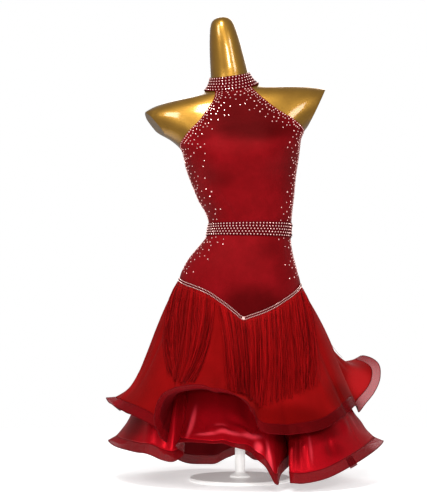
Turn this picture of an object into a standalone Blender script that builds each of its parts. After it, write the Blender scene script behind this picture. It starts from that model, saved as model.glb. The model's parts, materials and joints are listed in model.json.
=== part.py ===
"""Salsa dance dress on a limbless dress form, at real size.

Metres, +Z up. The dress faces -Y, and the origin is the centre of the stand's underside.
The dress is a halter bodice that leaves the back open, a stone-covered collar and belt, a fringe
that hangs from a V-shaped hip line, and two flared skirt tiers, each edged with crin braid.

Two words recur. A "turn" is the angle round the figure in degrees: 0 in front, 90 at +X, 180 behind.
An "out" is how far a point lies outside the skin of the dress form.
"""

import functools
import math

import bmesh
import bpy
from mathutils import Matrix, Vector

# ---- Driving dimensions ----

SEAM_GAP = 0.0004  # between the edges of two pieces that are sewn together
LAY_GAP = 0.0004  # between a piece and what it lies on
FORM_EASE = 0.0015  # below the collar the dress form is this much slimmer than the dress
NECK_EASE = 0.0002  # and this much at the neck, which carries the collar
EASE_TOP = 1.0030  # height at which the first ease has given way to the second
EASE_FADE = 0.0180
ARMPIT_EASE = 0.0025  # more ease in the hollows that the bodice is drawn across
ARMPIT_HEIGHT = 0.8640
ARMPIT_REACH = 0.0200

VELVET = 0.0014  # wall of the bodice panels
BAND = 0.0020  # wall of the collar and the belt
SKIRT_WALL = 0.0011  # wall of the skirt cloth
CRIN_WALL = 0.0010  # wall of the crin braid
CRIN_WIDTH = 0.025  # from the seam to the braid's free edge
TAPE = 0.0012  # wall of the stone trim and of the fringe's heading

BELT_WIDTH = 0.034
BELT_HEIGHT = 0.6245
BELT_RISE = 0.004  # the belt sits this much higher in front than at the sides

COLLAR_FOOT = 0.9810
COLLAR_FOOT_DIP = 0.0100  # how far the foot drops in front
COLLAR_FOOT_RISE = 0.0050  # how far it rises behind
COLLAR_TOP = 1.0115
COLLAR_TOP_DIP = 0.0065

TRIM_WIDTH = 0.0085
HEADING_WIDTH = 0.0070
FRINGE_LENGTH = 0.275
STRANDS = 96
STRAND_WIDTH = 0.0040
STRAND_THICK = 0.0012
STRAND_TIP = 0.55  # width of a strand's tip as a share of its root
STRAND_BENDS = (0.10, 0.28, 0.60, 1.0)  # shares of its length at which a strand has a section
STRAND_CLEAR = 0.0055  # how far a strand's tip hangs clear of the tier
FALL_EASE = 0.75  # below 1, a strand slides aside near its root and then hangs straight

BUST_HEIGHT = 0.815
BUST_APART = 0.066  # from the centre line to each side's fullest point
BUST_SPREAD = 0.050
BUST_TALL = 0.042
BUST_FULL = 0.027

FORM_FOOT = 0.362  # height of the form's flat underside
STAND_GAP = 0.0003  # between the plate, the post and the form
BASE_RADIUS = 0.125
BASE_THICK = 0.008
BASE_EDGE = 0.0015  # rounding of the plate's upper rim
SOCKET_RADIUS = 0.025  # the collar that holds the post on the plate
SOCKET_THICK = 0.004
SOCKET_TAPER = 0.008
POST_RADIUS = 0.0125
FLANGE_RADIUS = 0.045
FLANGE_THICK = 0.006
BASE_STEPS = 32
POST_STEPS = 16

V_TURN = 3  # the point of the hip line's V
COLUMN = 6  # degrees between the columns of a piece
FINE_COLUMN = 3  # the same on the tiers where the flutes in front are
FINE_REACH = 60  # degrees from the V to the end of those fine columns
SIDE_SEAM_RIGHT = V_TURN + 14 * COLUMN
SIDE_SEAM_LEFT = V_TURN - 16 * COLUMN
HALTER_SHARE = 0.28  # share of its turns at the waist that the bodice front spans at the collar
HALTER_BLEND = 0.014  # height over which the side edge runs into the halter edge
COLLAR_ROWS = 3
BACK_ROWS = 3
ROW_CLEAR = 0.010  # least step from a shared row to an edge of the collar or the belt
LOW_ROWS = 4  # rows of the bodice front below the belt
LONGEST_RING = 0.034  # tallest step between two rings of the dress form
NECK_RING = 0.008  # the same where the neck curves into the shoulders
NECK_CURVE = (0.970, 1.028)
FORM_COLUMNS = 32
COLLAR_COLUMNS = 36
HIP_COLUMNS = 60
HEIGHT_STEP = 0.0008  # steps for measuring the slope of a surface
TURN_STEP = 0.4
WELD = 1e-5  # points closer than this are one
SMOOTH_ANGLE = 40  # degrees between two faces, above which their edge stays sharp

# ---- The figure, section by section, before its tilt ----

BODY_COLUMNS = ("height", "half_width", "front", "back", "power", "shift_x", "shift_y", "tilt")
BODY = (
    (0.340, 0.120, 0.078, 0.098, 2.20, -0.0040, 0.008, -3.3),
    (0.400, 0.142, 0.092, 0.112, 2.20, -0.0030, 0.008, -3.3),
    (0.445, 0.150, 0.098, 0.118, 2.20, -0.0010, 0.008, -3.3),
    (0.490, 0.1515, 0.100, 0.114, 2.20, 0.0000, 0.006, -3.3),
    (0.525, 0.1405, 0.097, 0.104, 2.20, 0.0020, 0.003, -3.0),
    (0.555, 0.1275, 0.091, 0.094, 2.15, 0.0065, 0.000, -2.4),
    (0.5875, 0.1110, 0.084, 0.084, 2.10, 0.0155, -0.002, -1.4),
    (0.6225, 0.1005, 0.079, 0.077, 2.10, 0.0240, -0.004, -0.5),
    (0.650, 0.1015, 0.081, 0.076, 2.10, 0.0250, -0.004, 0.8),
    (0.700, 0.1165, 0.089, 0.080, 2.10, 0.0165, -0.003, 3.0),
    (0.750, 0.1290, 0.095, 0.088, 2.25, 0.0095, 0.000, 4.8),
    (0.800, 0.1420, 0.099, 0.096, 2.60, 0.0060, 0.003, 6.2),
    (0.835, 0.1490, 0.100, 0.100, 3.00, 0.0050, 0.005, 6.8),
    (0.852, 0.1620, 0.099, 0.101, 2.90, 0.0040, 0.006, 7.0),
    (0.870, 0.1820, 0.098, 0.100, 2.75, 0.0025, 0.006, 7.0),
    (0.886, 0.2040, 0.096, 0.099, 2.60, 0.0005, 0.007, 7.0),
    (0.902, 0.2230, 0.094, 0.098, 2.50, -0.0020, 0.008, 7.0),
    (0.930, 0.2360, 0.088, 0.093, 2.40, -0.0070, 0.008, 7.0),
    (0.948, 0.2320, 0.080, 0.083, 2.30, -0.0100, 0.007, 7.0),
    (0.957, 0.2140, 0.074, 0.074, 2.20, -0.0120, 0.006, 7.0),
    (0.964, 0.1860, 0.069, 0.068, 2.15, -0.0140, 0.005, 7.0),
    (0.968, 0.1520, 0.066, 0.064, 2.10, -0.0155, 0.004, 7.0),
    (0.9715, 0.1150, 0.063, 0.060, 2.05, -0.0172, 0.003, 7.0),
    (0.976, 0.0860, 0.060, 0.058, 2.00, -0.0190, 0.002, 7.2),
    (0.9825, 0.0660, 0.0575, 0.0555, 2.00, -0.0215, 0.001, 7.5),
    (0.995, 0.0555, 0.054, 0.052, 2.00, -0.0238, -0.001, 8.0),
    (1.012, 0.0480, 0.050, 0.050, 2.00, -0.0262, -0.003, 8.0),
    (1.030, 0.0460, 0.0475, 0.0475, 2.00, -0.0290, -0.004, 8.0),
    (1.080, 0.0405, 0.043, 0.043, 2.00, -0.0365, -0.008, 8.0),
    (1.125, 0.0330, 0.035, 0.035, 2.00, -0.0432, -0.012, 8.0),
    (1.142, 0.0285, 0.030, 0.030, 2.00, -0.0458, -0.013, 8.0),
    (1.151, 0.0215, 0.023, 0.023, 2.00, -0.0470, -0.014, 8.0),
    (1.155, 0.0120, 0.013, 0.013, 2.00, -0.0476, -0.014, 8.0),
)

# The flat cuts where the arms would start: the armpit's end of each, and the way it faces.
ARM_CUTS = (
    {"armpit": (-0.1500, 0.0, 0.8035), "faces": (-0.79, -0.18, -0.61)},
    {"armpit": (0.1625, 0.0, 0.8700), "faces": (0.90, 0.02, -0.43)},
)
ARM_CUTTER = (0.10, 0.30, 0.24)  # depth, width and length of the block that makes a cut

# ---- Lines that the dress is cut to ----

# Height of the hip line, from the middle of the back round each side to the point of the V.
HIP_LINE_LEFT = ((-180, 0.452), (-150, 0.455), (-120, 0.471), (-90, 0.489), (-60, 0.480),
                 (-33, 0.4655), (-13.4, 0.438), (V_TURN, 0.404))
HIP_LINE_RIGHT = ((V_TURN, 0.404), (17.3, 0.419), (32, 0.4367), (50.5, 0.4615), (85, 0.491),
                  (120, 0.472), (150, 0.456), (180, 0.452))

# Where the fringe falls to: turn of a strand's root, turn of its tip. The strands slide off the
# crests of the flutes, so they part at each break between these tables.
FRINGE_FALLS = (
    ((-93, -52), (-60, -44), (-22, -17)),
    ((-22, 0), (3, 10), (30, 27.5), (60, 40), (87, 48)),
    ((87, 120), (105, 132), (120, 140), (150, 153), (180, 178), (210, 207), (240, 236), (267, 249)),
)

# Top edge of the back panel: turn from the side seam, height.
BACK_EDGE = ((90, 0.548), (120, 0.535), (150, 0.522), (180, 0.518))

# Side edge of the bodice front: height, degrees from the side seam towards the front.
# Above the armpit the next table holds.
SIDE_EDGE = ((0.40, 0), (0.70, 0), (0.76, 3), (0.80, 8), (0.836, 12))

# Halter edge: height, distance from the centre line.
HALTER_EDGE = ((0.836, 0.1480), (0.850, 0.1540), (0.8585, 0.1500), (0.878, 0.1340), (0.896, 0.1100),
               (0.912, 0.0910), (0.930, 0.0740), (0.955, 0.0530), (0.973, 0.0430))

# ---- Free edges of the skirt tiers: a row for each crest, valley and turn of a flute ----

# azimuth: degrees round the upright axis. flare: degrees from straight down at which the cloth
# runs into the edge; 90 is level, and more than 90 curls upwards.
HEM_COLUMNS = ("azimuth", "radius", "height", "flare")
UPPER_HEM = (
    (-97, 0.334, 0.196, 95), (-80, 0.322, 0.192, 70), (-63, 0.307, 0.178, 40),
    (-53, 0.300, 0.167, 30), (-45, 0.290, 0.148, 20), (-38.5, 0.284, 0.118, 14),
    (-35.5, 0.320, 0.127, 30), (-34.4, 0.363, 0.173, 75), (-28.2, 0.391, 0.239, 112),
    (-17.4, 0.388, 0.263, 122), (-5.3, 0.3666, 0.248, 112), (3.6, 0.330, 0.206, 75),
    (8.4, 0.290, 0.1515, 32), (14.8, 0.286, 0.141, 22), (29.3, 0.288, 0.140, 20),
    (42.5, 0.292, 0.148, 25), (55, 0.295, 0.168, 30), (78, 0.292, 0.192, 30),
    (94, 0.298, 0.168, 25), (104, 0.322, 0.176, 50), (108.8, 0.375, 0.2285, 88),
    (113, 0.392, 0.278, 116), (119, 0.374, 0.299, 122), (127, 0.340, 0.262, 90),
    (133, 0.305, 0.190, 42), (146, 0.285, 0.150, 20), (160, 0.335, 0.190, 70),
    (170, 0.365, 0.232, 108), (180, 0.345, 0.205, 75), (192, 0.297, 0.157, 26),
    (205, 0.292, 0.150, 22), (216, 0.340, 0.200, 75), (225, 0.368, 0.238, 110),
    (234, 0.345, 0.205, 75), (244, 0.300, 0.160, 30), (253, 0.300, 0.160, 35),
)
LOWER_HEM = (
    (-94, 0.330, 0.098, 72), (-75, 0.318, 0.092, 50), (-55, 0.303, 0.086, 35),
    (-44, 0.290, 0.080, 25), (-38, 0.280, 0.068, 15), (-35, 0.240, 0.084, 10),
    (-32, 0.292, 0.108, 50), (-26, 0.325, 0.122, 88), (-15, 0.335, 0.124, 95),
    (-4, 0.328, 0.115, 85), (5, 0.308, 0.098, 60), (11, 0.296, 0.064, 30),
    (16.5, 0.290, 0.020, 12), (22, 0.250, 0.040, 10), (35, 0.212, 0.056, 5),
    (30, 0.252, 0.040, 10), (25, 0.292, 0.022, 20), (38, 0.316, 0.030, 30),
    (53, 0.330, 0.056, 40), (72, 0.345, 0.084, 60), (88, 0.357, 0.099, 80),
    (100, 0.335, 0.085, 50), (110, 0.300, 0.060, 25), (120, 0.315, 0.080, 45),
    (130, 0.345, 0.104, 80), (140, 0.318, 0.080, 45), (150, 0.288, 0.055, 20),
    (162, 0.290, 0.030, 20), (171, 0.290, 0.020, 20), (180, 0.276, 0.042, 20),
    (189, 0.283, 0.018, 18), (198, 0.286, 0.012, 15), (207, 0.290, 0.014, 15),
    (216, 0.296, 0.032, 30), (228, 0.330, 0.080, 60), (240, 0.325, 0.088, 55),
    (252, 0.310, 0.080, 40),
)

HIP_RATIO = 0.70  # depth of the hips over their width, which turns an azimuth into a turn
LEAVE_FRONT = 17  # degrees from straight down at which a tier leaves the hips, in front and behind
LEAVE_SIDE = 30  # the same at the sides
LEAVE_ARM = 0.16  # how far that direction holds
HEM_ARM = 0.09  # the same at the free edge
PROFILE_STEPS = 28

TIERS = {
    "lower": {"hem": LOWER_HEM, "out": 0.0005},
    "upper": {"hem": UPPER_HEM, "out": 0.0021},
}

# Turns at which the tiers have a column.
TIER_TURNS = tuple(
    V_TURN + d for d in range(-180, 180, FINE_COLUMN) if d % COLUMN == 0 or abs(d) < FINE_REACH
)
TIER_ROWS = 6
ROW_CROWDING = 1.25  # above 1, the rows of a tier lie closer towards its free edge

# ---- Curves through tables ----


def shares(count):
    """Evenly spaced shares from 0 to 1."""
    return [i / count for i in range(count + 1)]


def through(points):
    """A smooth curve through (x, y) points that never overshoots them."""
    xs = [p[0] for p in points]
    ys = [p[1] for p in points]
    steps = [b - a for a, b in zip(xs, xs[1:])]
    slopes = [(b - a) / s for a, b, s in zip(ys, ys[1:], steps)]
    tangents = [slopes[0]]
    for before, after in zip(slopes, slopes[1:]):
        level = before * after <= 0
        tangents.append(0.0 if level else 2 * before * after / (before + after))
    tangents.append(slopes[-1])

    def curve(x):
        x = min(max(x, xs[0]), xs[-1])
        i = max(k for k in range(len(steps)) if xs[k] <= x)
        s = (x - xs[i]) / steps[i]
        rise = (3 - 2 * s) * s * s
        start = tangents[i] * s * (1 - s) ** 2
        end = tangents[i + 1] * s * s * (s - 1)
        return ys[i] + (ys[i + 1] - ys[i]) * rise + (start + end) * steps[i]

    return curve


BODY_CURVES = {
    name: through([(row[0], row[i]) for row in BODY]) for i, name in enumerate(BODY_COLUMNS) if i
}


def ring_heights():
    """Heights of the dress form's rings: the rows of the table and steps between them."""
    heights = []
    for (low, *_), (high, *_) in zip(BODY, BODY[1:]):
        longest = NECK_RING if NECK_CURVE[0] < low < NECK_CURVE[1] else LONGEST_RING
        parts = math.ceil((high - low) / longest)
        heights += [low + (high - low) * i / parts for i in range(parts)]
    return [*heights, BODY[-1][0]]


RINGS = ring_heights()
HIP_LEFT = through(HIP_LINE_LEFT)
HIP_RIGHT = through(HIP_LINE_RIGHT)
BACK_TOP = through(BACK_EDGE)
FALLS = [(table[0][0], table[-1][0], through(table)) for table in FRINGE_FALLS]
SIDE_INSET = through(SIDE_EDGE)
HALTER_REACH = through(HALTER_EDGE)


def wrapped(turn):
    """The same turn, between -180 and 180."""
    return (turn + 180) % 360 - 180


def hip_line(turn):
    turn = wrapped(turn)
    return HIP_LEFT(turn) if turn < V_TURN else HIP_RIGHT(turn)


# ---- The figure's skin ----


def bust(x, height):
    """How far the bust stands forward at this place."""
    tall = math.exp(-(((height - BUST_HEIGHT) / BUST_TALL) ** 2) / 2)
    wide = sum(math.exp(-(((x - side) / BUST_SPREAD) ** 2) / 2) for side in (-BUST_APART, BUST_APART))
    return BUST_FULL * tall * wide


def skin(height, turn):
    """A point of the dress form's skin, as the figure stands."""
    at = {name: curve(height) for name, curve in BODY_CURVES.items()}
    angle = math.radians(turn)
    across, along = math.sin(angle), math.cos(angle)
    share = 2 / at["power"]
    x = at["half_width"] * math.copysign(abs(across) ** share, across)
    depth = at["front"] if along > 0 else at["back"]
    y = -depth * math.copysign(abs(along) ** share, along)
    if along > 0:
        y -= bust(x, height) * along
    tilt = math.radians(at["tilt"])
    return Vector((at["shift_x"] + x * math.cos(tilt), at["shift_y"] + y, height + x * math.sin(tilt)))


def skin_normal(height, turn):
    across = skin(height, turn + TURN_STEP) - skin(height, turn - TURN_STEP)
    up = skin(height + HEIGHT_STEP, turn) - skin(height - HEIGHT_STEP, turn)
    return across.cross(up).normalized()


def on_skin(height, turn, out):
    """A point at a distance outside the skin."""
    return skin(height, turn) + skin_normal(height, turn) * out


# ---- The skirt tiers ----


def hem_curve(rows):
    """A function of the turn that gives (x, y, height, flare) on a tier's free edge.

    The edge is a closed Catmull-Rom curve through the rows. Its turns are spread by its own length,
    because a circular cut has the same length of hem for each length of seam."""
    points = []
    for azimuth, radius, height, flare in rows:
        angle = math.radians(azimuth)
        points.append(Vector((radius * math.sin(angle), -radius * math.cos(angle), height, flare)))
    count = len(points)
    steps = [(points[(i + 1) % count].xyz - points[i].xyz).length for i in range(count)]
    whole = sum(steps)
    starts = [360 * sum(steps[:i]) / whole for i in range(count)]
    offsets = []
    for row, start in zip(rows, starts):
        angle = math.radians(row[0])
        flat = math.degrees(math.atan2(math.sin(angle) * HIP_RATIO, math.cos(angle)))
        offsets.append(wrapped(flat - start - wrapped(rows[0][0])))
    first = rows[0][0] + sum(offsets) / count

    def curve(turn):
        along = (turn - first) % 360
        i = max(k for k in range(count) if starts[k] <= along)
        span = 360 * steps[i] / whole
        s = (along - starts[i]) / span
        before, a, b, after = (points[(i + k) % count] for k in (-1, 0, 1, 2))
        span_before = 360 * steps[i - 1] / whole
        span_after = 360 * steps[(i + 1) % count] / whole
        lead = (b - before) * (span / (span + span_before))
        trail = (after - a) * (span / (span + span_after))
        rise = (3 - 2 * s) * s * s
        return a + (b - a) * rise + lead * (s * (1 - s) ** 2) + trail * (s * s * (s - 1))

    return curve


HEMS = {name: hem_curve(tier["hem"]) for name, tier in TIERS.items()}


@functools.cache
def tier_line(tier, turn):
    """The points down one line of a tier, from the hip line to the free edge."""
    height = hip_line(turn) - SEAM_GAP / 2
    top = on_skin(height, turn, TIERS[tier]["out"])
    outward = skin_normal(height, turn)
    outward.z = 0
    outward.normalize()
    side = math.sin(math.radians(turn)) ** 2
    leave = math.radians(LEAVE_FRONT + (LEAVE_SIDE - LEAVE_FRONT) * side)
    hem = HEMS[tier](turn)
    end = hem.xyz
    radial = Vector((end.x, end.y, 0)).normalized()
    flare = math.radians(hem.w)
    down = Vector((0, 0, -1))
    second = top + (outward * math.sin(leave) + down * math.cos(leave)) * LEAVE_ARM
    third = end - (radial * math.sin(flare) + down * math.cos(flare)) * HEM_ARM
    points = []
    for s in shares(PROFILE_STEPS):
        r = 1 - s
        points.append(top * r**3 + second * 3 * s * r**2 + third * 3 * s**2 * r + end * s**3)
    return points


def along_line(points, distance):
    """The point at a distance down a line of points; beyond its end the line runs straight on."""
    for a, b in zip(points, points[1:]):
        step = (b - a).length
        if distance <= step:
            return a.lerp(b, distance / step)
        distance -= step
    a, b = points[-2], points[-1]
    return b + (b - a).normalized() * distance


def line_length(points):
    return sum((b - a).length for a, b in zip(points, points[1:]))


def tier_normal(tier, turn, distance):
    """The way out of a tier; at the hip line it is the skin's, because the cloth is sewn down flat."""
    if distance <= 0:
        return skin_normal(hip_line(turn), turn)
    left, right = (along_line(tier_line(tier, turn + d), distance) for d in (-TURN_STEP, TURN_STEP))
    line = tier_line(tier, turn)
    down = along_line(line, distance + HEIGHT_STEP) - along_line(line, distance - HEIGHT_STEP)
    return down.cross(right - left).normalized()


@functools.cache
def tier_column(tier, turn):
    """The inner points and the normals down one column of a tier's wall, as (point, normal) pairs."""
    line = tier_line(tier, turn)
    length = line_length(line) - CRIN_WIDTH - SEAM_GAP / 2
    distances = [length * (1 - (1 - s) ** ROW_CROWDING) for s in shares(TIER_ROWS)]
    return [(along_line(line, d), tier_normal(tier, turn, d)) for d in distances]


def down_column(column, distance):
    """The point and the normal at a distance down one column of a tier's wall."""
    for (a, out_a), (b, out_b) in zip(column, column[1:]):
        step = (b - a).length
        if distance <= step:
            return a.lerp(b, distance / step), out_a.lerp(out_b, distance / step)
        distance -= step
    return column[-1]


def over_tier(tier, turn, distance, out):
    """A point over the facets of a tier's wall, and the way out of them."""
    turn = (turn - TIER_TURNS[0]) % 360 + TIER_TURNS[0]
    ring = [*TIER_TURNS, TIER_TURNS[0] + 360]
    left, right = next((a, b) for a, b in zip(ring, ring[1:]) if turn <= b)
    sides = [down_column(tier_column(tier, at), distance) for at in (left, right)]
    share = (turn - left) / (right - left)
    normal = sides[0][1].lerp(sides[1][1], share).normalized()
    return sides[0][0].lerp(sides[1][0], share) + normal * out, normal


# ---- Making solids ----


def material(name, colour, roughness, metallic=0.0):
    made = bpy.data.materials.new(name)
    made.use_nodes = True
    shader = made.node_tree.nodes["Principled BSDF"]
    shader.inputs["Base Color"].default_value = (*colour, 1)
    shader.inputs["Roughness"].default_value = roughness
    shader.inputs["Metallic"].default_value = metallic
    return made


def show(name, mesh, finish):
    """Puts a mesh in the scene as one named piece, shaded smooth up to its sharp edges."""
    mesh.shade_smooth()
    mesh.set_sharp_from_angle(angle=math.radians(SMOOTH_ANGLE))
    made = bpy.data.objects.new(name, mesh)
    made.data.materials.append(finish)
    bpy.context.scene.collection.objects.link(made)
    return made


def wall(name, inner, outer, closed, finish):
    """A wall between two sheets. Each line of points runs down a sheet, and the lines go round to +X."""
    solid = bmesh.new()
    sheets = [[[solid.verts.new(p) for p in line] for line in lines] for lines in (inner, outer)]
    count = len(inner)
    for k in range(count if closed else count - 1):
        n = (k + 1) % count
        (in_left, in_right), (out_left, out_right) = ((sheet[k], sheet[n]) for sheet in sheets)
        for i in range(len(in_left) - 1):
            solid.faces.new((out_left[i], out_left[i + 1], out_right[i + 1], out_right[i]))
            solid.faces.new((in_left[i], in_right[i], in_right[i + 1], in_left[i + 1]))
        solid.faces.new((in_left[0], out_left[0], out_right[0], in_right[0]))
        solid.faces.new((in_left[-1], in_right[-1], out_right[-1], out_left[-1]))
    if not closed:
        for k in (0, -1):
            inside, outside = sheets[0][k], sheets[1][k]
            for i in range(len(inside) - 1):
                solid.faces.new((inside[i], inside[i + 1], outside[i + 1], outside[i]))
    bmesh.ops.recalc_face_normals(solid, faces=solid.faces)
    mesh = bpy.data.meshes.new(name)
    solid.to_mesh(mesh)
    solid.free()
    return show(name, mesh, finish)


def skin_wall(name, lines, closed, out, thickness, finish):
    """A wall over the skin, from lines of (height, turn) places."""
    sheets = [[[on_skin(height, turn, o) for height, turn in line] for line in lines]
              for o in (out, out + thickness)]
    wall(name, *sheets, closed, finish)


def turned(name, profile, steps, finish):
    """A turned solid: an open (radius, height) profile spun about the upright axis through the origin."""
    shape = bmesh.new()
    verts = [shape.verts.new((radius, 0, height)) for radius, height in profile]
    edges = [shape.edges.new(pair) for pair in zip(verts, verts[1:])]
    bmesh.ops.spin(shape, geom=verts + edges, axis=(0, 0, 1), cent=(0, 0, 0), steps=steps,
                   angle=math.tau, use_merge=True)
    bmesh.ops.remove_doubles(shape, verts=shape.verts, dist=WELD)
    bmesh.ops.recalc_face_normals(shape, faces=shape.faces)
    mesh = bpy.data.meshes.new(name)
    shape.to_mesh(mesh)
    shape.free()
    return show(name, mesh, finish)


# ---- The pieces ----


def remove_arm(form, cut):
    """Cuts the form flat where an arm would start, with a block that ends at the armpit."""
    outward = Vector(cut["faces"]).normalized()
    upward = Vector((0, 0, 1)) - outward * outward.z
    upward.normalize()
    depth, width, length = ARM_CUTTER
    block = bmesh.new()
    bmesh.ops.create_cube(block, size=1)
    bmesh.ops.scale(block, vec=(depth, width, length), verts=block.verts)
    turning = Matrix((outward, upward.cross(outward), upward)).transposed().to_4x4()
    middle = Vector(cut["armpit"]) + outward * depth / 2 + upward * length / 2
    bmesh.ops.transform(block, matrix=Matrix.Translation(middle) @ turning, verts=block.verts)
    mesh = bpy.data.meshes.new("arm_cutter")
    block.to_mesh(mesh)
    block.free()
    cutter = bpy.data.objects.new("arm_cutter", mesh)
    bpy.context.scene.collection.objects.link(cutter)
    cutter.hide_render = True
    cutter.display_type = "WIRE"
    boolean = form.modifiers.new("arm", "BOOLEAN")
    boolean.operation = "DIFFERENCE"
    boolean.solver = "EXACT"
    boolean.object = cutter


def make_form(finish):
    """The limbless form: one smooth closed body from the hips to the top of the neck."""
    body = bmesh.new()
    rings = []
    for height in RINGS:
        hollow = math.exp(-(((height - ARMPIT_HEIGHT) / ARMPIT_REACH) ** 2) / 2)
        fade = min(1, max(0, (EASE_TOP - height) / EASE_FADE))
        ease = NECK_EASE + (FORM_EASE - NECK_EASE) * fade + ARMPIT_EASE * hollow
        turns = [360 * i / FORM_COLUMNS for i in range(FORM_COLUMNS)]
        rings.append([body.verts.new(on_skin(height, turn, -ease)) for turn in turns])
    for low, high in zip(rings, rings[1:]):
        for i in range(FORM_COLUMNS):
            k = (i + 1) % FORM_COLUMNS
            body.faces.new((low[i], low[k], high[k], high[i]))
    body.faces.new(rings[-1])
    everything = body.verts[:] + body.edges[:] + body.faces[:]
    bmesh.ops.bisect_plane(body, geom=everything, plane_co=(0, 0, FORM_FOOT), plane_no=(0, 0, -1),
                           clear_outer=True)
    rim = [edge for edge in body.edges if edge.is_boundary]
    bmesh.ops.contextual_create(body, geom=rim)
    bmesh.ops.recalc_face_normals(body, faces=body.faces)
    mesh = bpy.data.meshes.new("dress_form")
    body.to_mesh(mesh)
    body.free()
    form = show("dress_form", mesh, finish)
    for cut in ARM_CUTS:
        remove_arm(form, cut)


def make_stand(finish):
    """A round plate and a post with a flange that carries the form; the skirt hides both."""
    rim = [(BASE_RADIUS, 0), (BASE_RADIUS, BASE_THICK - BASE_EDGE),
           (BASE_RADIUS - BASE_EDGE, BASE_THICK)]
    turned("stand_base", [(0, 0), *rim, (0, BASE_THICK)], BASE_STEPS, finish)
    foot, head = BASE_THICK + STAND_GAP, FORM_FOOT - STAND_GAP
    shoulder = foot + SOCKET_THICK
    socket = [(SOCKET_RADIUS, foot), (SOCKET_RADIUS, shoulder), (POST_RADIUS, shoulder + SOCKET_TAPER)]
    under = head - FLANGE_THICK
    flange = [(POST_RADIUS, under), (FLANGE_RADIUS, under), (FLANGE_RADIUS, head)]
    turned("stand_post", [(0, foot), *socket, *flange, (0, head)], POST_STEPS, finish)


def collar_foot(turn):
    along = math.cos(math.radians(turn))
    return COLLAR_FOOT + (-COLLAR_FOOT_DIP if along > 0 else COLLAR_FOOT_RISE) * along * along


def collar_top(turn):
    return COLLAR_TOP - COLLAR_TOP_DIP * math.cos(math.radians(turn))


def make_collar(finish):
    lines = []
    for turn in (360 * s for s in shares(COLLAR_COLUMNS)[:-1]):
        high, low = collar_top(turn), collar_foot(turn)
        lines.append([(high + (low - high) * s, turn) for s in shares(COLLAR_ROWS)])
    skin_wall("collar", lines, True, LAY_GAP, BAND, finish)


def front_turn(height, side):
    """The turn of the bodice front's edge at a height, for side -1 or 1, without its sign."""
    seam = -SIDE_SEAM_LEFT if side < 0 else SIDE_SEAM_RIGHT
    below = seam - SIDE_INSET(height)
    armpit = SIDE_EDGE[-1][0]
    if height <= armpit:
        return below
    reach = HALTER_REACH(height) / BODY_CURVES["half_width"](height)
    above = math.degrees(math.asin(min(1, reach) ** (BODY_CURVES["power"](height) / 2)))
    return below + (above - below) * min(1, (height - armpit) / HALTER_BLEND)


def belt_middle(turn):
    return BELT_HEIGHT + BELT_RISE * math.cos(math.radians(turn))


def bodice_heights(turn):
    """Heights of the bodice front's rows down one column.

    Above the belt they match the dress form's rings, so that neither cuts into the other."""
    belt = belt_middle(turn)
    belt_top, belt_foot = belt + BELT_WIDTH / 2, belt - BELT_WIDTH / 2
    low = hip_line(turn) + SEAM_GAP / 2
    heights = [collar_foot(turn * HALTER_SHARE) - SEAM_GAP]
    lowest = BELT_HEIGHT + BELT_WIDTH / 2 + BELT_RISE + ROW_CLEAR
    heights += [h for h in reversed(RINGS) if lowest < h < COLLAR_FOOT - COLLAR_FOOT_DIP - ROW_CLEAR]
    heights.append(belt_top)
    heights += [belt_foot + (low - belt_foot) * s for s in shares(LOW_ROWS)]
    return heights


def make_bodice_front(finish):
    """From the collar to the hip line, with the halter edges above and the open back's edges below."""
    lines = []
    for i in range(round((SIDE_SEAM_RIGHT - SIDE_SEAM_LEFT) / COLUMN) + 1):
        waist_turn = SIDE_SEAM_LEFT + COLUMN * i
        side = -1 if waist_turn < 0 else 1
        share = waist_turn / (-SIDE_SEAM_LEFT if side < 0 else SIDE_SEAM_RIGHT)
        lines.append([(h, share * front_turn(h, side)) for h in bodice_heights(waist_turn)])
    skin_wall("bodice_front", lines, False, LAY_GAP, VELVET, finish)


def make_bodice_back(finish):
    """The low back: a band over the hips that closes the ring between the side seams."""
    gap = math.degrees(SEAM_GAP / BODY_CURVES["half_width"](BACK_EDGE[0][1]))
    start, end = SIDE_SEAM_RIGHT + gap, SIDE_SEAM_LEFT + 360 - gap
    inner = [SIDE_SEAM_RIGHT + COLUMN * i for i in range(1, round((end - start) / COLUMN))]
    lines = []
    for turn in [start, *inner, end]:
        high = BACK_TOP(abs(wrapped(turn)))
        low = hip_line(turn) + SEAM_GAP / 2
        lines.append([(high + (low - high) * s, turn) for s in shares(BACK_ROWS)])
    skin_wall("bodice_back", lines, False, LAY_GAP, VELVET, finish)


def hip_turns():
    return [V_TURN + 360 * s for s in shares(HIP_COLUMNS)[:-1]]


def make_belt(finish):
    """A stone-covered ring at the waist, over the bodice front."""
    lines = [[(belt_middle(turn) + BELT_WIDTH * s, turn) for s in (0.5, -0.5)] for turn in hip_turns()]
    skin_wall("belt", lines, True, LAY_GAP + VELVET + LAY_GAP, BAND, finish)


def make_trim(finish):
    """The tape of stones along the bodice's lower edge."""
    foot = SEAM_GAP / 2
    lines = [[(hip_line(turn) + foot + h, turn) for h in (TRIM_WIDTH, 0)] for turn in hip_turns()]
    skin_wall("hip_trim", lines, True, LAY_GAP + VELVET + LAY_GAP, TAPE, finish)


def make_tier(tier, cloth, crin):
    """One skirt tier, and the braid that stiffens its free edge."""
    columns = [tier_column(tier, turn) for turn in TIER_TURNS]
    sheets = [[[p + n * out for p, n in column] for column in columns] for out in (0, SKIRT_WALL)]
    wall(f"skirt_{tier}", *sheets, True, cloth)
    columns = []
    for turn in TIER_TURNS:
        line = tier_line(tier, turn)
        length = line_length(line)
        edges = (length - CRIN_WIDTH + SEAM_GAP / 2, length)
        columns.append([(along_line(line, d), tier_normal(tier, turn, d)) for d in edges])
    sheets = [[[p + n * out for p, n in column] for column in columns] for out in (0, CRIN_WALL)]
    wall(f"crin_{tier}", *sheets, True, crin)


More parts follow.
